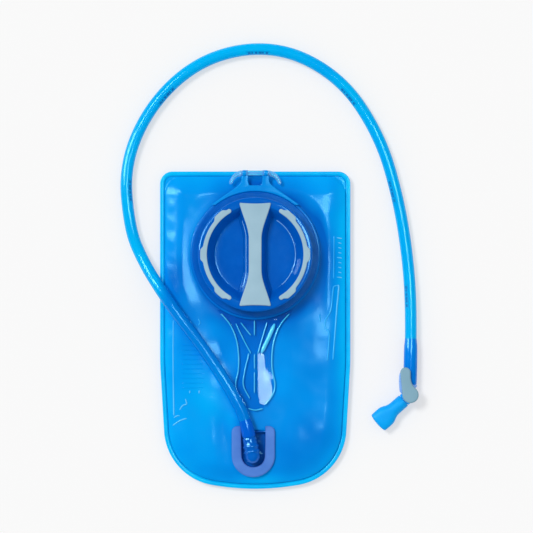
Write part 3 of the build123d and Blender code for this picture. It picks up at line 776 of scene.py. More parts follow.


# Zones where the film is painted lighter (+) or darker (-): painted highlights where its swells face the
# softboxes, painted shade beside the cap and the hose and in the hanger slot, and patchy tone: place, reach
# along x and y, amount and turn.
FILM_LIGHT_AND_TONE = [
    (-60.0, 100.0, 30.0, 40.0, 0.14, 0),
    (66.0, 104.0, 14.0, 36.0, 0.2, 25),
    (-75.0, 44.0, 10.0, 20.0, -0.3, 0),
    (-40.0, -62.0, 16.0, 32.0, 0.34, 8),
    (-62.0, -62.0, 16.0, 50.0, 0.16, 0),
    (-21.0, -82.0, 6.0, 15.0, 0.25, 10),
    (-44.0, -108.0, 26.0, 16.0, 0.12, -35),
    (-40.0, -2.0, 12.0, 14.0, 0.12, 20),
    (81.0, 30.0, 7.0, 120.0, 0.45, 0),
    (-80.0, -20.0, 7.0, 60.0, 0.25, 0),
    (-53.0, 66.0, 7.0, 26.0, 0.4, 0),
    (57.0, 66.0, 6.0, 34.0, -0.5, 0),
    (50.0, -14.0, 20.0, 14.0, -0.1, 0),
    (20.0, -50.0, 14.0, 22.0, 0.1, 0),
    (36.0, -112.0, 34.0, 18.0, -0.1, 25),
    (6.0, -135.0, 18.0, 6.0, 0.3, 0),
    (1.0, 126.0, 9.0, 9.0, -0.5, 0),
]


# Base of the film's painted light, how much lighter its edges are painted, and how far that edge light and the
# painted shadow round the fill port reach, in millimetres.
PLAIN_TONE, EDGE_LIGHT, TONE_REACH = 0.25, 0.4, 6.0


def film_light_and_tone(points):
    """How light the film is painted, 0 to 1: painted highlights and shade from the zones, painted lighter at
    its edges, and a painted shadow beside the fill port.
    """
    total = hills(points, FILM_LIGHT_AND_TONE, PLAIN_TONE)
    # Painted highlight along the rolled edge.
    total += EDGE_LIGHT * np.exp(-inset_of(points) / TONE_REACH)
    away = points - (PORT_X, PORT_Y)
    port = np.hypot(away[:, 0], away[:, 1])
    # Painted shadow round the fill port, deepest on its lower right, away from the key light.
    shadow_side = 0.5 + 0.5 * (away[:, 0] * 0.8 - away[:, 1] * 0.6) / np.maximum(port, 1)
    total -= (0.12 + 0.5 * shadow_side) * np.exp(-np.maximum(port - YOKE_HI[0], 0) / TONE_REACH)
    return total + 0.08 * soft_noise(points, 26, 6.1)


def set_light_and_tone(obj):
    """Stores the painted light, shade and tone on the piece's vertices for its material."""
    places = np.array([tuple(v.co) for v in obj.data.vertices])[:, :2] / MM
    layer = obj.data.attributes.new("tone", "FLOAT", "POINT")
    layer.data.foreach_set("value", np.clip(film_light_and_tone(places), 0, 1).astype(np.float32))


def ring_of(inset):
    return OUTLINE + OUTLINE_IN * inset


def weld_bead():
    section = [
        (0.1, 5.7), (0.0, 6.1), (0.0, 6.7), (0.15, 7.1), (0.6, 7.3), (1.6, 7.36), (2.6, 7.3),
        (3.2, 7.1), (3.7, 6.8), (4.2, 6.5), (4.2, 6.2), (3.4, 5.8), (2.2, 5.6), (0.8, 5.55),
    ]
    points = []
    for inset, z in section:
        points += [(x, y, z) for x, y in ring_of(inset)]
    count = len(OUTLINE)
    faces = grid_faces(len(section), count, wrap=True)
    last = (len(section) - 1) * count
    faces += [(last + k, last + (k + 1) % count, (k + 1) % count, k) for k in range(count)]
    bead = outward(add_mesh("weld_bead", points, faces, WELD, "bladder"))
    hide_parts("perimeter_weld")


def front_film():
    insets = [WELD_WIDTH, 3.6, 3.9, 4.2, 4.5, 4.9, 5.4, 6.0, 6.8, 7.7, 8.7, 9.8]
    rings = [ring_of(d) for d in insets]
    start = rings[-1]
    away = start - (PORT_X, PORT_Y)
    end = (PORT_X, PORT_Y) + away / np.linalg.norm(away, axis=1)[:, None] * COLLAR_HOLE
    rings += [start + (end - start) * t for t in np.linspace(0, 1, FILM_RINGS)[1:]]
    flat = np.vstack(rings)
    z = film_height(flat)
    seam = len(insets[:4]) * OUTLINE_POINTS
    z[: 2 * OUTLINE_POINTS] = WELD_Z + 0.5
    z[2 * OUTLINE_POINTS : seam] = WELD_Z - 0.1
    points = np.column_stack([flat, z])
    faces = grid_faces(len(rings), OUTLINE_POINTS, wrap=True)
    skin = add_mesh("front_film_skin", points, faces, FILM, "bladder")
    skin.data.materials.append(SEAM_LINE)
    for polygon in skin.data.polygons[: 4 * OUTLINE_POINTS]:
        polygon.material_index = 1
    if skin.data.polygons[-1].normal.z < 0:
        skin.data.flip_normals()
    set_light_and_tone(skin)
    thicken(skin, FILM_THICK)
    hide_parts("front_film")


def thicken(obj, amount):
    """Gives a sheet a real thickness on its inner side."""
    modifier = obj.modifiers.new("thickness", "SOLIDIFY")
    modifier.thickness = amount * MM
    modifier.offset = -1
    modifier.use_rim = True


def back_film():
    insets = [WELD_WIDTH, 3.9, 4.4, 4.9, 5.5, 6.3, 7.3, 8.6, 10.2, 12.0, 14.0, 17.0]
    rings = [ring_of(d) for d in insets]
    start = rings[-1]
    rings += [start * (1 - t) for t in np.linspace(0, 1, 46)[1:-1]]
    flat = np.vstack(rings)
    d = inset_of(flat)
    u = np.clip((d - WELD_WIDTH - 0.6) / BACK_ROLL_WIDTH, 0, 1)
    z = (WELD_Z - 0.8) * (1 - np.sqrt(1 - (1 - u) ** 2)) + 0.42
    ripple = 0.25 * (1 + soft_noise(flat, 24, 2.2)) * smoothstep((d - 14) / 10)
    points = [tuple(p) for p in np.column_stack([flat, z + ripple])]
    points.append((0.0, 0.0, float(z[-1] + ripple[-1])))
    faces = grid_faces(len(rings), OUTLINE_POINTS, wrap=True)
    last = (len(rings) - 1) * OUTLINE_POINTS
    middle = len(points) - 1
    faces += [(last + k, last + (k + 1) % OUTLINE_POINTS, middle) for k in range(OUTLINE_POINTS)]
    skin = add_mesh("back_film_skin", points, faces, FILM, "bladder")
    if skin.data.polygons[-1].normal.z > 0:
        skin.data.flip_normals()
    set_light_and_tone(skin)
    thicken(skin, FILM_THICK)
    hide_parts("back_film")


# ---- embossed lines on the film ----------------------------------------------------


def curve_through(points, count, closed=False):
    """A smooth curve through points (Catmull-Rom), evenly resampled."""
    p = np.array(points, float)
    if closed:
        p = np.vstack([p[-1:], p, p[:2]])
    else:
        p = np.vstack([2 * p[0] - p[1], p, 2 * p[-1] - p[-2]])
    out = []
    for a, b, c, d in zip(p, p[1:], p[2:], p[3:]):
        for t in np.linspace(0, 1, 16, endpoint=False):
            square = (2 * a - 5 * b + 4 * c - d) * t**2
            cube = (3 * b - a - 3 * c + d) * t**3
            out.append(0.5 * (2 * b + (c - a) * t + square + cube))
    if not closed:
        out.append(p[-2])
    return resample(out, count, closed)


def level(z):
    """A flat surface for beads to lie on."""
    return lambda line: np.full(len(line), z)


def bead_on(name, paths, width, height, surface, material, body="bladder"):
    """Half-round raised lines along paths on a surface, with tapered ends."""
    points, faces = [], []
    flank = [(0.18, 0.9), (0.36, 0.55), (0.46, 0), (0.5, -0.25)]
    across = [(-s, h) for s, h in reversed(flank)] + [(0, 1)] + flank
    for path in paths:
        length = lengths_along(np.array(path, float))[-1]
        count = max(8, int(length / 0.7))
        line = curve_through(path, count)
        heading = np.gradient(line, axis=0)
        heading /= np.linalg.norm(heading, axis=1)[:, None]
        side = np.stack([heading[:, 1], -heading[:, 0]], 1)
        base = surface(line)
        start = len(points)
        for k in range(count):
            end_gap = min(k, count - 1 - k) * length / count
            taper = sqrt(min(1.0, 0.15 + end_gap / (1.2 * width)))
            for s, h in across:
                x, y = line[k] + side[k] * s * width * taper
                points.append((x, y, base[k] + h * height * (taper if h > 0 else 1)))
        n = len(across)
        faces += grid_faces(count, n, start, wrap=True)
        faces += filled(points, start, n) + filled(points, start + (count - 1) * n, n)
    beads = outward(add_mesh(name, points, faces, material, body))
    if material in (FILM, FILM_GLINT):
        set_light_and_tone(beads)
    return beads


def embossing():
    channel = [
        [
            (73.2, 39.6), (70.4, 38.4), (69.4, 33.0), (67.6, 17.6),
            (63.4, 9.4), (62.8, 2.0), (66.2, -4.0), (64.6, -27.5),
        ],
        [(73.2, 39.6), (74.8, 38.0), (73.2, 20.0), (69.6, -27.0)],
        [(58.2, 14.0), (58.0, 7.0)],
    ]
    # The channel, level marks and creases are coloured paler, a painted glint.
    bead_on("embossed_channel", channel, 1.5, 0.8, film_height, FILM_GLINT)
    ticks = []
    for k in range(9):
        y = 82.0 - 4.4 * k
        reach = 3.4 if k % 4 == 0 else 2.2
        ticks.append([(76.5 - reach, y + 0.5), (76.5, y), (76.5 + 0.4 * reach, y - 0.2)])
    ticks.append([(70.6, 84.0), (70.2, 46.0)])
    bead_on("embossed_level_marks", ticks, 1.1, 0.6, film_height, FILM_GLINT)
    creases = [
        [(-73.4, 8.5), (-73.6, -30.0), (-73.0, -77.0)],
        [(-73.0, -79.0), (-70.4, -77.4), (-67.8, -77.0)],
        [(-74.0, -86.0), (-67.5, -81.5), (-61.5, -79.4)],
        [(-67.8, -72.0), (-65.0, -68.0), (-61.6, -66.4), (-62.6, -62.0)],
        [(-58.8, -57.0), (-58.6, -54.4)],
        [(-50.4, -57.0), (-50.2, -54.4)],
        [(-51.0, 9.6), (-49.6, 6.4), (-51.2, 3.6)],
    ]
    bead_on("embossed_creases", creases, 1.3, 0.7, film_height, FILM_GLINT)
    bars = [[(-66.5, y), (-56.0, y - 0.2), (-46.0, y)] for y in np.arange(-14.0, -54.0, -4.2)]
    bead_on("embossed_bars", bars, 0.9, 0.3, film_height, FILM)


weld_bead()
front_film()
back_film()
embossing()

# ---- fill port moulding and hanger ---------------------------------------------------

YOKE_LOW, YOKE_TOP = YOKE_LO[2], YOKE_HI[2]
YOKE_R = YOKE_HI[0]
TAB_LOW, TAB_TOP_Z = TAB_LO[2], TAB_LO[2] + 3.0
TAB_HALF, TAB_END = 12.4, TAB_HI[1]
NECK_RING = 56.6
SLOT_TOP_HALF, SLOT_END_HALF, SLOT_BOTTOM = 6.4, 5.2, 129.4
BAR_Y, BAR_RADIUS = 140.4, 2.3
BAR_Z = (BAR_LO[2] + BAR_HI[2]) / 2
POST_X, POST_RADIUS = 9.7, 2.6
WING_SHAPE = [
    (12.6, 142.2), (16.6, 141.4), (20.6, 137.6), (23.2, 132.6), (22.6, 130.4),
    (20.6, 131.0), (18.6, 134.6), (15.6, 137.0), (12.6, 137.8),
]
# Line along each wing's curl, drawn as a painted highlight.
WING_HIGHLIGHT_LINE = [(14.5, 139.4), (18.4, 136.9), (20.8, 133.6), (21.9, 131.0)]


def turned(name, stations, origin, heading, material, body, segments=64):
    """A round body along a straight axis: stations are (distance, radius)."""
    along = Vector(heading).normalized()
    side = along.orthogonal().normalized()
    up = along.cross(side)
    sections = []
    for distance, radius in stations:
        centre = Vector(origin) + along * distance
        ring = []
        for k in range(segments):
            a = 2 * pi * k / segments
            ring.append(tuple(centre + side * (radius * cos(a)) + up * (radius * sin(a))))
        sections.append(ring)
    return loft(name, sections, material, body)


def dome(radius, low, high, steps=7):
    """Stations of a round end between two distances."""
    return [(low + (high - low) * sin(a), radius * cos(a)) for a in np.linspace(0, pi / 2 * 0.97, steps)]


def yoke_ring():
    profile = [
        (COLLAR_HOLE, YOKE_LOW + 0.05),
        (YOKE_R - 0.3, YOKE_LOW + 0.05),
        (YOKE_R, YOKE_LOW + 0.35),
        (YOKE_R - 0.1, YOKE_TOP - 0.7),
        (YOKE_R - 0.5, YOKE_TOP - 0.2),
        (YOKE_R - 1.1, YOKE_TOP),
        (COLLAR_HOLE, YOKE_TOP),
    ]
    yoke = lathe("port_yoke_ring", profile, (PORT_X, PORT_Y), YOKE_BLUE, "bladder", 220)
    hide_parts("port_yoke")


def neck():
    """Neck from the hanger slot down to the fill port, flaring round it."""
    corners = [
        (TAB_HALF, TAB_END), (SLOT_TOP_HALF, TAB_END), (SLOT_TOP_HALF, 133.0), (SLOT_END_HALF, SLOT_BOTTOM),
        (-SLOT_END_HALF, SLOT_BOTTOM), (-SLOT_TOP_HALF, 133.0), (-SLOT_TOP_HALF, TAB_END), (-TAB_HALF, TAB_END),
        (-TAB_HALF, 131.8), (-20.0, 125.6), (-39.0, 112.4),
    ]
    radii = [2.2, 0.7, 3.0, 1.2, 1.2, 3.0, 0.7, 2.2, 5.0, 24.0, 0.0]
    start = atan2(112.4 - PORT_Y, -39.0)
    end = pi - start
    ring = [
        (PORT_X + NECK_RING * cos(a), PORT_Y + NECK_RING * sin(a)) for a in np.linspace(start, end, 50)[1:-1]
    ]
    corners += ring + [(39.0, 112.4), (20.0, 125.6), (TAB_HALF, 131.8)]
    radii += [0.0] * len(ring) + [0.0, 24.0, 5.0]
    outline = rounded(corners, radii, 10)
    rings = edge_rings(TAB_LOW, TAB_TOP_Z, 0.7)
    piece = plate("hanger_neck", outline, rings, PORT_BLUE, "bladder")
    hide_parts("hanger_tab")
    for side, name in ((-1, "hanger_post_left"), (1, "hanger_post_right")):
        stations = [(0.0, POST_RADIUS)] + dome(POST_RADIUS, 1.2, 2.4)
        foot = (side * POST_X, BAR_Y, TAB_TOP_Z - 0.6)
        turned(name, stations, foot, (0, 0, 1), PORT_BLUE, "bladder")


def hanger_bar():
    """Clear bar across the slot, with a shallow groove along its top."""
    sections = []
    reach = 13.8
    for x in np.concatenate([[-reach], np.linspace(-reach + 0.5, reach - 0.5, 12), [reach]]):
        ring = []
        for k in range(48):
            a = 2 * pi * k / 48
            radius = BAR_RADIUS * (1 - 0.16 * exp(-(((a - pi / 2) / 0.42) ** 2)))
            radius *= 0.8 if abs(x) > reach - 0.1 else 1.0
            ring.append((x, BAR_Y + radius * cos(a), BAR_Z + radius * sin(a)))
        sections.append(ring)
    bar = loft("hanger_cross_bar", sections, CLEAR, "bladder")
    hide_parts("hanger_bar")
    for side, name in ((-1, "hanger_wing_left"), (1, "hanger_wing_right")):
        outline = curve_through([(side * x, y) for x, y in WING_SHAPE], 90, closed=True)
        rings = edge_rings(BAR_Z - 0.8, BAR_Z + 0.8, 0.6)
        plate(name, outline, rings, CLEAR, "bladder")
    # Two lines along the bar and one along each wing's curl, raised and coloured as painted highlights.
    edges = [[(-6.8, y), (6.8, y)] for y in (BAR_Y + 1.5, BAR_Y - 1.5)]
    bead_on("hanger_bar_lines", edges, 0.8, 0.5, level(BAR_Z + 1.6), CLEAR_HIGHLIGHT)
    curls = [[(side * x, y) for x, y in WING_HIGHLIGHT_LINE] for side in (-1, 1)]
    bead_on("hanger_wing_lines", curls, 0.8, 0.5, level(BAR_Z + 0.75), CLEAR_HIGHLIGHT)


# ---- cap ---------------------------------------------------------------------------------

CAP_R = (CAP_HI[0] - CAP_LO[0]) / 2
CAP_TOP = CAP_HI[2]
SKIRT_LOW = CAP_LO[2]
CAP_BORE = 49.0
ROOF_UNDER = 32.6
BOWL_TOP_R, BOWL_FLOOR_R, BOWL_FLOOR = 43.0, 36.5, 24.4
GRIP_TOP = GRIP_HI[2]
GRIP_HALF = (GRIP_HI[1] - GRIP_LO[1]) / 2
GRIP_END, GRIP_WAIST = 14.2, 5.7
# The web under the bar: how far it spreads at each height above the bowl's floor.
WEB_FLARE = [
    (0.0, 5.6), (0.25, 4.7), (0.8, 4.1), (1.8, 3.7), (4.0, 3.0),
    (6.5, 2.2), (9.0, 1.3), (10.6, 0.55), (11.3, 0.12), (11.62, 0.0),
]
SIDE_IN, SIDE_OUT, LOBE_OUT = 43.0, 46.9, 49.0
HALF_ARC = 59.0


def bowl_radius(z):
    """Radius of the sunk bowl's wall at a height."""
    return BOWL_FLOOR_R + (BOWL_TOP_R - BOWL_FLOOR_R) * (z - BOWL_FLOOR) / (CAP_TOP - BOWL_FLOOR)


def cap_shell():
    profile = [(CAP_BORE, SKIRT_LOW + 0.1), (CAP_R - 0.7, SKIRT_LOW)]
    profile += arc(CAP_R - 0.5, SKIRT_LOW + 0.6, 0.5, -60, 0, 4)
    profile += [(CAP_R, 27.0), (CAP_R - 0.1, 32.0)]
    profile += arc(CAP_R - 2.3, CAP_TOP - 2.2, 2.2, 0, 90, 10)
    profile += [(47.0, CAP_TOP)]
    profile += arc(BOWL_TOP_R + 1.4, CAP_TOP - 1.2, 1.2, 90, 150, 6)
    profile += [(bowl_radius(z), z) for z in np.linspace(CAP_TOP - 2.4, BOWL_FLOOR + 2.2, 7)]
    profile += arc(BOWL_FLOOR_R - 1.0, BOWL_FLOOR + 1.4, 1.4, -20, -90, 8)
    profile += [(r, BOWL_FLOOR) for r in (30.0, 20.0, 10.0, 3.0, 0.01)]
    profile += [(0.01, BOWL_FLOOR - 1.8), (BOWL_FLOOR_R, BOWL_FLOOR - 1.8)]
    profile += [(BOWL_TOP_R + 0.9, ROOF_UNDER), (CAP_BORE, ROOF_UNDER), (CAP_BORE, 25.0)]
    shell = lathe("cap_shell", profile, (PORT_X, PORT_Y), CAP_BLUE, "cap", 256)
    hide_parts("cap_body")


def bar_half_width(y, grow=0.0):
    """Half the width of the centre bar: a slim waist that widens towards both ends."""
    u = np.clip((np.abs(y) - 14.0) / (GRIP_HALF - 14.0), 0, 1)
    return GRIP_WAIST + (GRIP_END - GRIP_WAIST) * 0.5 * (u**1.7 + smoothstep(u)) + grow


def bar_outline(inset=0.0, steps=70):
    """The hourglass bar from above, anticlockwise, in the port's own axes."""
    reach = GRIP_HALF - inset
    ys = reach * np.sin(np.linspace(-pi / 2, pi / 2, steps))
    widths = bar_half_width(ys, -inset)
    cut = 0.9
    near_end = np.clip((np.abs(ys) - (reach - cut)) / cut, 0, 1)
    widths = widths - cut * near_end
    right = list(zip(widths, ys))
    dip = 0.7
    end_w = widths[-1]
    top = [(w, reach - dip * (1 - (w / end_w) ** 2)) for w in np.linspace(end_w, -end_w, 22)[1:-1]]
    left = [(-w, y) for w, y in reversed(right)]
    bottom = [(-w, -y) for w, y in top]
    return np.array(right + top + left + bottom)


# Where the painted highlight lines in the cap's bowl lie: their gap from the bar, and their rise on the bar's
# flank and on the floor.
EDGE_LINE_GAP = 2.4
FLANK_LINE_RISE, FLOOR_LINE_RISE = 4.65, 0.55


def bowl_level(points):
    """Height under the cap's painted highlight lines: its sunk floor on the right, the bar's flank on the left.
    """
    return BOWL_FLOOR + np.where(points[:, 0] < PORT_X, FLANK_LINE_RISE, FLOOR_LINE_RISE)


def cap_core():
    """The blue web under the grip bar, with sloping flanks that spread into the bowl's floor."""
    top = bar_outline(0.45)
    normal = inward(top)
    sections = []
    for rise, flare in WEB_FLARE:
        z = BOWL_FLOOR - 0.02 + rise
        ring = top - normal * flare
        away = np.hypot(ring[:, 0], ring[:, 1])
        limit = bowl_radius(z) + 1.0
        if rise < 11:
            ring = ring * np.minimum(1, limit / away)[:, None]
        sections.append([(PORT_X + x, PORT_Y + y, z) for x, y in ring])
    loft("cap_bar_web", sections, CAP_BLUE, "cap")
    # Raised lines at the foot of the bar's left flank and round the right floor, coloured as painted
    # highlights.
    foot = [(PORT_X - bar_half_width(y) - EDGE_LINE_GAP, PORT_Y + y) for y in np.linspace(-30.0, 30.0, 13)]
    rim = arc(PORT_X, PORT_Y, BOWL_FLOOR_R - 0.5, -49, 58, 20)
    bead_on("cap_floor_edge_lines", [foot, rim], 0.8, 0.5, bowl_level, CAP_HIGHLIGHT, "cap")


def cap_grips():
    outline = bar_outline() + (PORT_X, PORT_Y)
    rings = [(0.3, CAP_TOP), (0.0, CAP_TOP + 0.3), (0.0, GRIP_TOP - 0.75), (0.16, GRIP_TOP - 0.35)]
    rings += [(0.45, GRIP_TOP - 0.1), (0.85, GRIP_TOP)]
    bar = plate("cap_grip_bar", outline, rings, GRIP_GREY, "cap")
    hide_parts("cap_centre_grip")
    for facing, hand in ((0, "right"), (180, "left")):
        name, node = f"cap_grip_{hand}", f"cap_side_grip_{hand}"
        outer, inner = [], []
        for a in np.linspace(-HALF_ARC, HALF_ARC, 200):
            lobe = 0.0
            for middle in (-HALF_ARC + 11.0, 0.0, HALF_ARC - 11.0):
                lobe += smoothstep((9.6 - abs(a - middle)) / 5.0)
            radius = SIDE_OUT + (LOBE_OUT - SIDE_OUT) * min(lobe, 1)
            c, s = cos(radians(a + facing)), sin(radians(a + facing))
            outer.append((PORT_X + radius * c, PORT_Y + radius * s))
            inner.append((PORT_X + SIDE_IN * c, PORT_Y + SIDE_IN * s))
        ends = []
        end_radius = (SIDE_OUT - SIDE_IN) / 2
        for end, sign in ((HALF_ARC, 1), (-HALF_ARC, -1)):
            base = radians(end + facing)
            cx = PORT_X + (SIDE_IN + end_radius) * cos(base)
            cy = PORT_Y + (SIDE_IN + end_radius) * sin(base)
            tip = [
                (cx + end_radius * cos(base + sign * t), cy + end_radius * sin(base + sign * t))
                for t in np.linspace(0.2, pi - 0.2, 9)
            ]
            ends.append(tip)
        outline = outer + ends[0] + inner[::-1] + ends[1][::-1]
        outline = resample(outline, 520)
        rings = [(0.2, CAP_TOP - 0.2), (0.0, CAP_TOP + 0.1), (0.0, SIDE_TOP - 0.5), (0.12, SIDE_TOP - 0.2)]
        rings += [(0.35, SIDE_TOP - 0.04), (0.6, SIDE_TOP)]
        piece = plate(name, outline, rings, GRIP_GREY, "cap")
        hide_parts(node)


# ---- clear carry handle --------------------------------------------------------------------

HANDLE_LOW = HANDLE_LO[2]
HANDLE_TOP = HANDLE_LOW + 1.8
HANDLE_SHAPE = [
    (34.0, 17.6), (23.4, 5.0), (17.8, -8.0), (15.6, -22.0),
    (15.8, -36.0), (18.2, -49.0), (15.6, -59.0), (7.0, -70.0),
]
# The bright facet: its corners, their radii, and the point and slopes of its plane.
FACET_CORNERS = [
    (2.6, -21.4), (7.4, -21.4), (8.4, -34.0), (11.6, -45.0), (15.0, -50.0),
    (14.6, -57.6), (9.0, -67.6), (4.4, -66.4), (2.6, -50.0),
]
FACET_RADII = [0.8, 1.5, 14, 10, 2, 4, 2, 2, 20]
FACET_X, FACET_Y = 15.0, -40.0
FACET_SLOPE_X, FACET_SLOPE_Y = 0.13, 0.06


def carry_handle():
    right = curve_through(HANDLE_SHAPE, 90)
    bottom = arc(0, -58.0, 14.0, -60, -120, 12)[1:-1]
    left = [(-x, y) for x, y in right[::-1]]
    a0 = atan2(right[0][1] - PORT_Y, right[0][0])
    a1 = -pi - a0
    rim = [(PORT_X + YOKE_R * cos(a), PORT_Y + YOKE_R * sin(a)) for a in np.linspace(a1, a0, 40)]
    outline = [tuple(p) for p in right] + bottom + left + rim[1:-1]
    rings = edge_rings(HANDLE_LOW + 0.05, HANDLE_TOP, 0.5)
    sheet = plate("carry_handle_sheet", outline, rings, CLEAR_FLAT, "bladder")
    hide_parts("carry_handle")
    # Rim, ribs and brace are raised beads coloured as painted highlights on the clear sheet.
    edge = [[tuple(p) for p in right[4:-3] - (0.6, 0)], [(-x + 0.6, y) for x, y in right[4:-3]]]
    edge.append([(-6.6, -70.6), (0.0, -72.0), (6.6, -70.6)])
    bead_on("carry_handle_rim", edge, 1.2, 0.8, level(HANDLE_TOP), CLEAR_HIGHLIGHT)
    ribs = [
        [(-0.7, 8.4), (-0.7, -5.0)],
        [(-0.7, -21.8), (-0.7, -35.0)],
        [(-0.7, -38.0), (-0.7, -56.5)],
        [(-17.4, 5.6), (-10.4, -9.0), (-3.9, -21.2)],
        [(-12.9, 6.4), (-8.4, 0.6), (-3.9, -5.0)],
        [(10.5, 6.8), (6.4, -7.0), (2.4, -21.2)],
        [(-5.7, -21.0), (-9.6, -38.0), (-10.6, -50.0), (-5.0, -61.6)],
    ]
    bead_on("carry_handle_ribs", ribs, 1.1, 0.9, level(HANDLE_TOP), CLEAR_HIGHLIGHT)
    broad = [[(17.4, 5.4), (11.6, -8.0), (5.6, -20.6)]]
    bead_on("carry_handle_brace", broad, 3.4, 1.0, level(HANDLE_TOP), CLEAR_HIGHLIGHT)
    outline = resample(rounded(FACET_CORNERS, FACET_RADII, 8), 150)
    sloped_plate("carry_handle_facet", outline, CLEAR_FLAT)


def sloped_plate(name, outline, material):
    """A flat facet on the handle, tilted down to the right so that it mirrors the softbox."""
    base = np.array(outline, float)
    sections = [[(x, y, HANDLE_TOP - 0.1) for x, y in base]]
    for inset, lift in ((0.0, -0.2), (0.3, 0.0)):
        ring = []
        for x, y in base + inward(base) * inset:
            z = HANDLE_TOP + 0.25 + (FACET_X - x) * FACET_SLOPE_X + (FACET_Y - y) * FACET_SLOPE_Y
            ring.append((x, y, z + lift))
        sections.append(ring)
    loft(name, sections, material, "bladder")


yoke_ring()
neck()
hanger_bar()
cap_shell()
cap_core()
cap_grips()
carry_handle()

# ---- exit port --------------------------------------------------------------------------------

SADDLE_LOW, SADDLE_TOP = SADDLE_LO[2], SADDLE_HI[2]
SADDLE_END = SADDLE_HI[1]
SADDLE_CORNER = 5.4
WELL_LOW, WELL_FLOOR = 9.0, 10.4
STEM_X, STEM_Y = -2.2, -113.2
PLUG_Z = 20.0
PLUG_RADIUS, PLUG_RIB = 6.4, 7.0
PLUG_RING_AT = (4.5, 9.0)


def u_outline(half, top, corner_radius, steps=60):
    """A U: straight sides and a round bottom."""
    left, right = EXIT_X - half, EXIT_X + half
    corners = [(right, top), (left, top), (left, EXIT_ARC_Y), (right, EXIT_ARC_Y)]
    upper = rounded(corners, [corner_radius, corner_radius, 0, 0], 10)[:-2]
    lower = arc(EXIT_X, EXIT_ARC_Y, half, 180, 360, steps)
    return upper + lower


def exit_saddle():
    half_gap = WELL_HALF - 0.1
    right = EXIT_X + SADDLE_HALF
    corners = [(EXIT_X + half_gap, SADDLE_END), (right, SADDLE_END), (right, EXIT_ARC_Y)]
    right_up = rounded(corners, [0.8, SADDLE_CORNER, 0], 10)[:-1]
    around = arc(EXIT_X, EXIT_ARC_Y, SADDLE_HALF, 0, -180, 70)
    left_up = [(2 * EXIT_X - x, y) for x, y in reversed(right_up)]
    back = arc(EXIT_X, EXIT_ARC_Y, half_gap, 180, 360, 50)
    outline = resample(right_up + around + left_up + back, 420)
    rings = [(0.1, SADDLE_LOW + 0.05), (0.0, SADDLE_LOW + 0.4), (0.05, SADDLE_TOP - 1.0)]
    rings += [(0.3, SADDLE_TOP - 0.45), (0.9, SADDLE_TOP - 0.1), (1.5, SADDLE_TOP)]
    piece = plate("exit_saddle_plate", outline, rings, SADDLE, "bladder")
    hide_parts("exit_port_saddle")


def exit_well():
    outline = resample(u_outline(WELL_HALF + WELL_WALL, WELL_TOP + WELL_WALL, 2.0), 260)
    rim = SADDLE_TOP - 0.5
    rings = [(0.3, WELL_LOW), (0.0, WELL_LOW + 0.3), (0.0, rim - 0.5), (0.25, rim - 0.1), (0.7, rim)]
    rings += [(1.15, rim - 0.12), (WELL_WALL, rim - 0.5), (WELL_WALL, WELL_FLOOR + 1.0)]
    rings += [(WELL_WALL + 0.4, WELL_FLOOR + 0.3), (WELL_WALL + 1.2, WELL_FLOOR)]
    well = plate("exit_well_cup", outline, rings, SOCKET_DARK, "bladder")
    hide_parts("exit_port_socket")


def exit_plug():
    """Ribbed elbow plug: a stem down into the port and a body that points along the tube."""
    start = Vector((STEM_X, STEM_Y, PLUG_Z))
    face = Vector([c / MM for c in TUBE_ROUTE[0]])
    heading = (face - start).normalized()
    reach = (face - start).length
    stations = [(-PLUG_RADIUS * cos(a), PLUG_RADIUS * sin(a)) for a in np.linspace(0.06, pi / 2, 12)]
    for at in PLUG_RING_AT:
        stations += [(at - 1.6, PLUG_RADIUS), (at - 1.0, PLUG_RADIUS + 0.15)]
        stations += [(at - 0.7, PLUG_RIB - 0.1), (at - 0.3, PLUG_RIB)]
        stations += [(at + 0.3, PLUG_RIB), (at + 0.7, PLUG_RIB - 0.1)]
        stations += [(at + 1.0, PLUG_RADIUS + 0.1), (at + 1.5, PLUG_RADIUS - 0.25)]
    stations += [(reach - 3.0, PLUG_RADIUS - 0.3), (reach - 0.8, PLUG_RADIUS - 0.3)]
    stations += [(reach - 0.2, PLUG_RADIUS - 0.7), (reach, 4.0)]
    body = turned("exit_plug_body", stations, start, heading, PLUG_BLUE, "bladder", 96)
    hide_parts("tube_plug")
    stem = [(-PLUG_Z + 4.2, 4.2), (-PLUG_Z + 4.6, 4.7), (-9.6, 4.7), (-9.4, 6.0)]
    stem += [(-9.0, PLUG_RADIUS), (0.0, PLUG_RADIUS)]
    turned("exit_plug_stem", stem, start, (0, 0, 1), PLUG_BLUE, "bladder", 96)


# ---- pieces along the tube -----------------------------------------------------------------------


def sleeve_along(name, start, end, radii, material, segments=40):
    """A round sleeve on the tube between two distances, following its line."""
    sections = []
    for t, radius in radii:
        place, heading, side, up = along_line(LINE, start + (end - start) * t)
        ring = []
        for k in range(segments):
            a = 2 * pi * k / segments
            ring.append(tuple(place + radius * (side * cos(a) + up * sin(a))))
        sections.append(ring)
    return loft(name, sections, material, "bladder")


# Distances of the marks along the tube, and their angles round it from the top, in degrees.
MARKS_AT = (252.0, 348.0, 444.5, 540.5, 637.0, 733.0)
MARK_HALF = 11.0
MARK_DASHES = (2.6, 1.6, 2.2, 3.0, 1.6, 2.4)
MARK_BAND = (31, 52)
MARK_FRAME = ((22, 25), (59, 62))


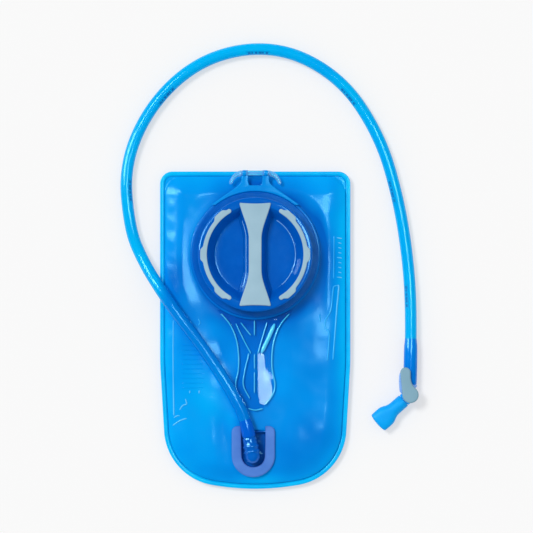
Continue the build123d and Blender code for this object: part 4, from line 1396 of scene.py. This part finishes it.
def printed_marks():
    """Short generic dashes in a thin frame on the inner side of the tube's loop, with no lettering."""
    points, faces = [], []
    skin = TUBE_RADIUS + 0.03

    def patch(begin, end, low, high):
        steps = max(2, int((end - begin) / 1.5))
        first = len(points)
        for i in range(steps + 1):
            place, heading, side, up = along_line(LINE, begin + (end - begin) * i / steps)
            for radius in (skin - 0.1, skin):
                for a in (low, (low + high) / 2, high):
                    out = side * sin(radians(a)) + up * cos(radians(a))
                    points.append(tuple(place + radius * out))
        for i in range(steps):
            b = first + 6 * i
            loop = (0, 1, 2, 5, 4, 3)
            for m in range(6):
                p, q = loop[m], loop[(m + 1) % 6]
                faces.append((b + p, b + q, b + 6 + q, b + 6 + p))
        for b in (first, first + 6 * steps):
            faces.append((b, b + 1, b + 4, b + 3))
            faces.append((b + 1, b + 2, b + 5, b + 4))

    for middle in MARKS_AT:
        for low, high in MARK_FRAME:
            patch(middle - MARK_HALF, middle + MARK_HALF, low, high)
        for k, width in enumerate(MARK_DASHES):
            at = middle - 9.2 + 3.3 * k
            patch(at, at + width, *MARK_BAND)
    outward(add_mesh("tube_printed_marks", points, faces, INK, "bladder"))


# ---- bite valve ----------------------------------------------------------------------------------

VALVE_Z = 8.0
HUB_RADIUS, HUB_LOW, HUB_TOP = 6.9, 1.1, 14.9
OUTLET = Vector((-0.751, -0.660, 0)).normalized()
LEVER_LOW, LEVER_TOP = LEVER_LO[2], LEVER_HI[2]
LEVER_R, TIP_R = 7.3, 4.6
TIP_X, TIP_Y = 134.6, -38.3
FLANK_SHAPE = [
    (129.3, -41.0), (129.2, -50.0), (130.2, -56.2), (134.6, -57.4),
    (134.4, -47.0), (133.6, -39.4), (131.0, -38.2),
]
# The mouthpiece: distance from the pivot, half width and half height.
MOUTH_STATIONS = [
    (7.8, 5.2, 5.2), (8.0, 5.9, 5.9), (8.5, 6.2, 6.2), (14.0, 6.2, 6.2), (19.0, 6.25, 6.2),
    (21.0, 6.5, 6.1), (23.0, 7.1, 6.0), (25.5, 8.2, 5.8), (28.0, 9.1, 5.7), (30.5, 9.4, 5.6),
    (34.0, 9.45, 5.5), (37.0, 9.4, 5.3), (38.4, 9.3, 5.0), (39.0, 9.0, 4.4), (39.3, 8.4, 3.6),
    (39.5, 6.6, 2.2), (39.6, 5.2, 0.5),
]


def valve_body():
    profile = [(0.01, HUB_LOW), (HUB_RADIUS - 0.8, HUB_LOW), (HUB_RADIUS - 0.2, HUB_LOW + 0.25)]
    profile += [(HUB_RADIUS, HUB_LOW + 0.9), (HUB_RADIUS, 12.8), (HUB_RADIUS - 0.4, 13.2)]
    profile += [(HUB_RADIUS - 0.4, 13.8), (HUB_RADIUS, 14.2), (HUB_RADIUS - 0.3, HUB_TOP), (0.01, HUB_TOP)]
    hub = lathe("valve_hub", profile, (PIVOT_X, PIVOT_Y), VALVE_PALE, "bladder", 96)
    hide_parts("valve_elbow")
    tube_end = Vector([c / MM for c in TUBE_ROUTE[-1]])
    into_tube = (Vector([c / MM for c in TUBE_ROUTE[-2]]) - tube_end).normalized()
    inlet = [(-7.5, 5.0), (-2.0, 5.3), (-1.0, 6.3), (0.4, 6.4), (1.0, 5.0), (1.2, 3.3)]
    inlet += [(20.0, 3.2), (20.6, 2.8)]
    turned("valve_inlet", inlet, tube_end, into_tube, VALVE_PALE, "bladder")
    middle = (PIVOT_X, PIVOT_Y, VALVE_Z)
    nipple = [(3.0, 4.4), (16.0, 4.4), (18.0, 4.1)]
    turned("valve_nipple", nipple, middle, OUTLET, VALVE_PALE, "bladder")
    shoulder = [(2.5, 4.0), (2.6, 5.8), (7.1, 5.8), (7.5, 5.4), (7.6, 4.0)]
    turned("valve_shoulder", shoulder, middle, OUTLET, SILICONE, "bladder")
    outline = curve_through(FLANK_SHAPE, 90, closed=True)
    rings = edge_rings(2.8, 14.2, 0.8)
    plate("valve_flank", outline, rings, VALVE_PALE, "bladder")


def lever_outline():
    """Teardrop: a round disc over the core and a thumb arm along the tube."""
    outline = arc(TIP_X, TIP_Y, TIP_R, 0, 178, 22)
    outline += arc(PIVOT_X, PIVOT_Y, LEVER_R, 176, 360 + 46, 60)
    start = np.array(outline[-1])
    end = np.array((TIP_X + TIP_R, TIP_Y - 3.5))
    pull_a = start + np.array((-3.2, 3.4))
    pull_b = end + np.array((0.3, -6.2))
    for t in np.linspace(0, 1, 24)[1:]:
        near = (1 - t) ** 3 * start + 3 * (1 - t) ** 2 * t * pull_a
        far = 3 * (1 - t) * t**2 * pull_b + t**3 * end
        outline.append(tuple(near + far))
    return resample(outline, 220)


def valve_lever():
    rings = [(0.5, LEVER_LOW + 0.02), (0.0, LEVER_LOW + 0.5), (0.0, LEVER_TOP - 1.1), (0.3, LEVER_TOP - 0.5)]
    rings += [(0.8, LEVER_TOP - 0.12), (1.4, LEVER_TOP), (1.9, LEVER_TOP)]
    lever = plate("valve_thumb_lever", lever_outline(), rings, LEVER_GREY, "lever")
    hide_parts("valve_lever")


def bite_valve():
    """Silicone mouthpiece: round neck, soft shoulders and a flat flared mouth."""
    side = Vector((-OUTLET.y, OUTLET.x, 0))
    sections = []
    for distance, half_width, half_height in MOUTH_STATIONS:
        ring = []
        for k in range(72):
            a = 2 * pi * k / 72
            c, s = cos(a), sin(a)
            flat = min(max((distance - 20) / 10, 0), 1)
            power = 1 - 0.25 * flat
            x = half_width * (abs(c) ** power) * (1 if c >= 0 else -1)
            z = half_height * (abs(s) ** power) * (1 if s >= 0 else -1)
            bow = -0.9 * (x / 9.4) ** 2 * flat
            along = Vector((PIVOT_X, PIVOT_Y, VALVE_Z)) + OUTLET * (distance + bow)
            ring.append(tuple(along + side * x + Vector((0, 0, z))))
        sections.append(ring)
    mouth = loft("bite_mouthpiece", sections, SILICONE, "mouthpiece")
    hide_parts("bite_valve")


exit_saddle()
exit_well()
exit_plug()
sleeve_along(
    "tube_over_barb", TUBE_LENGTH - 42, TUBE_LENGTH - 0.5,
    [(0, 5.32), (0.06, 5.5), (0.16, 5.95), (0.3, 6.1), (0.6, 6.15), (0.9, 6.1), (0.97, 6.0), (1.0, 5.6)],
    TUBE_END,
)
sleeve_along(
    "tube_over_plug", 0.3, 16,
    [(0, 5.3), (0.02, 5.8), (0.1, 6.0), (0.5, 5.95), (0.8, 5.6), (1.0, 5.33)],
    TUBE_END,
)
printed_marks()
valve_body()
valve_lever()
bite_valve()

# ---- materials on the frame's own parts --------------------------------------------------------------

CARRIED = {
    "fill_collar": COLLAR_BLUE,
    "cap_gasket": GASKET,
    "plug_seal_rings": SEAL,
    "valve_core": VALVE_PALE,
    "valve_core_rings": SEAL,
}
for node, material in CARRIED.items():
    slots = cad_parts[node].data.materials
    slots.clear()
    slots.append(material)

ON_CORD = (
    "tube_over_barb", "tube_over_plug", "tube_printed_marks", "valve_hub", "valve_inlet", "valve_nipple",
    "valve_shoulder", "valve_flank", "valve_thumb_lever", "bite_mouthpiece",
)
on_cord = [bpy.data.objects[name] for name in ON_CORD]
on_cord += [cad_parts["valve_core"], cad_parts["valve_core_rings"]]
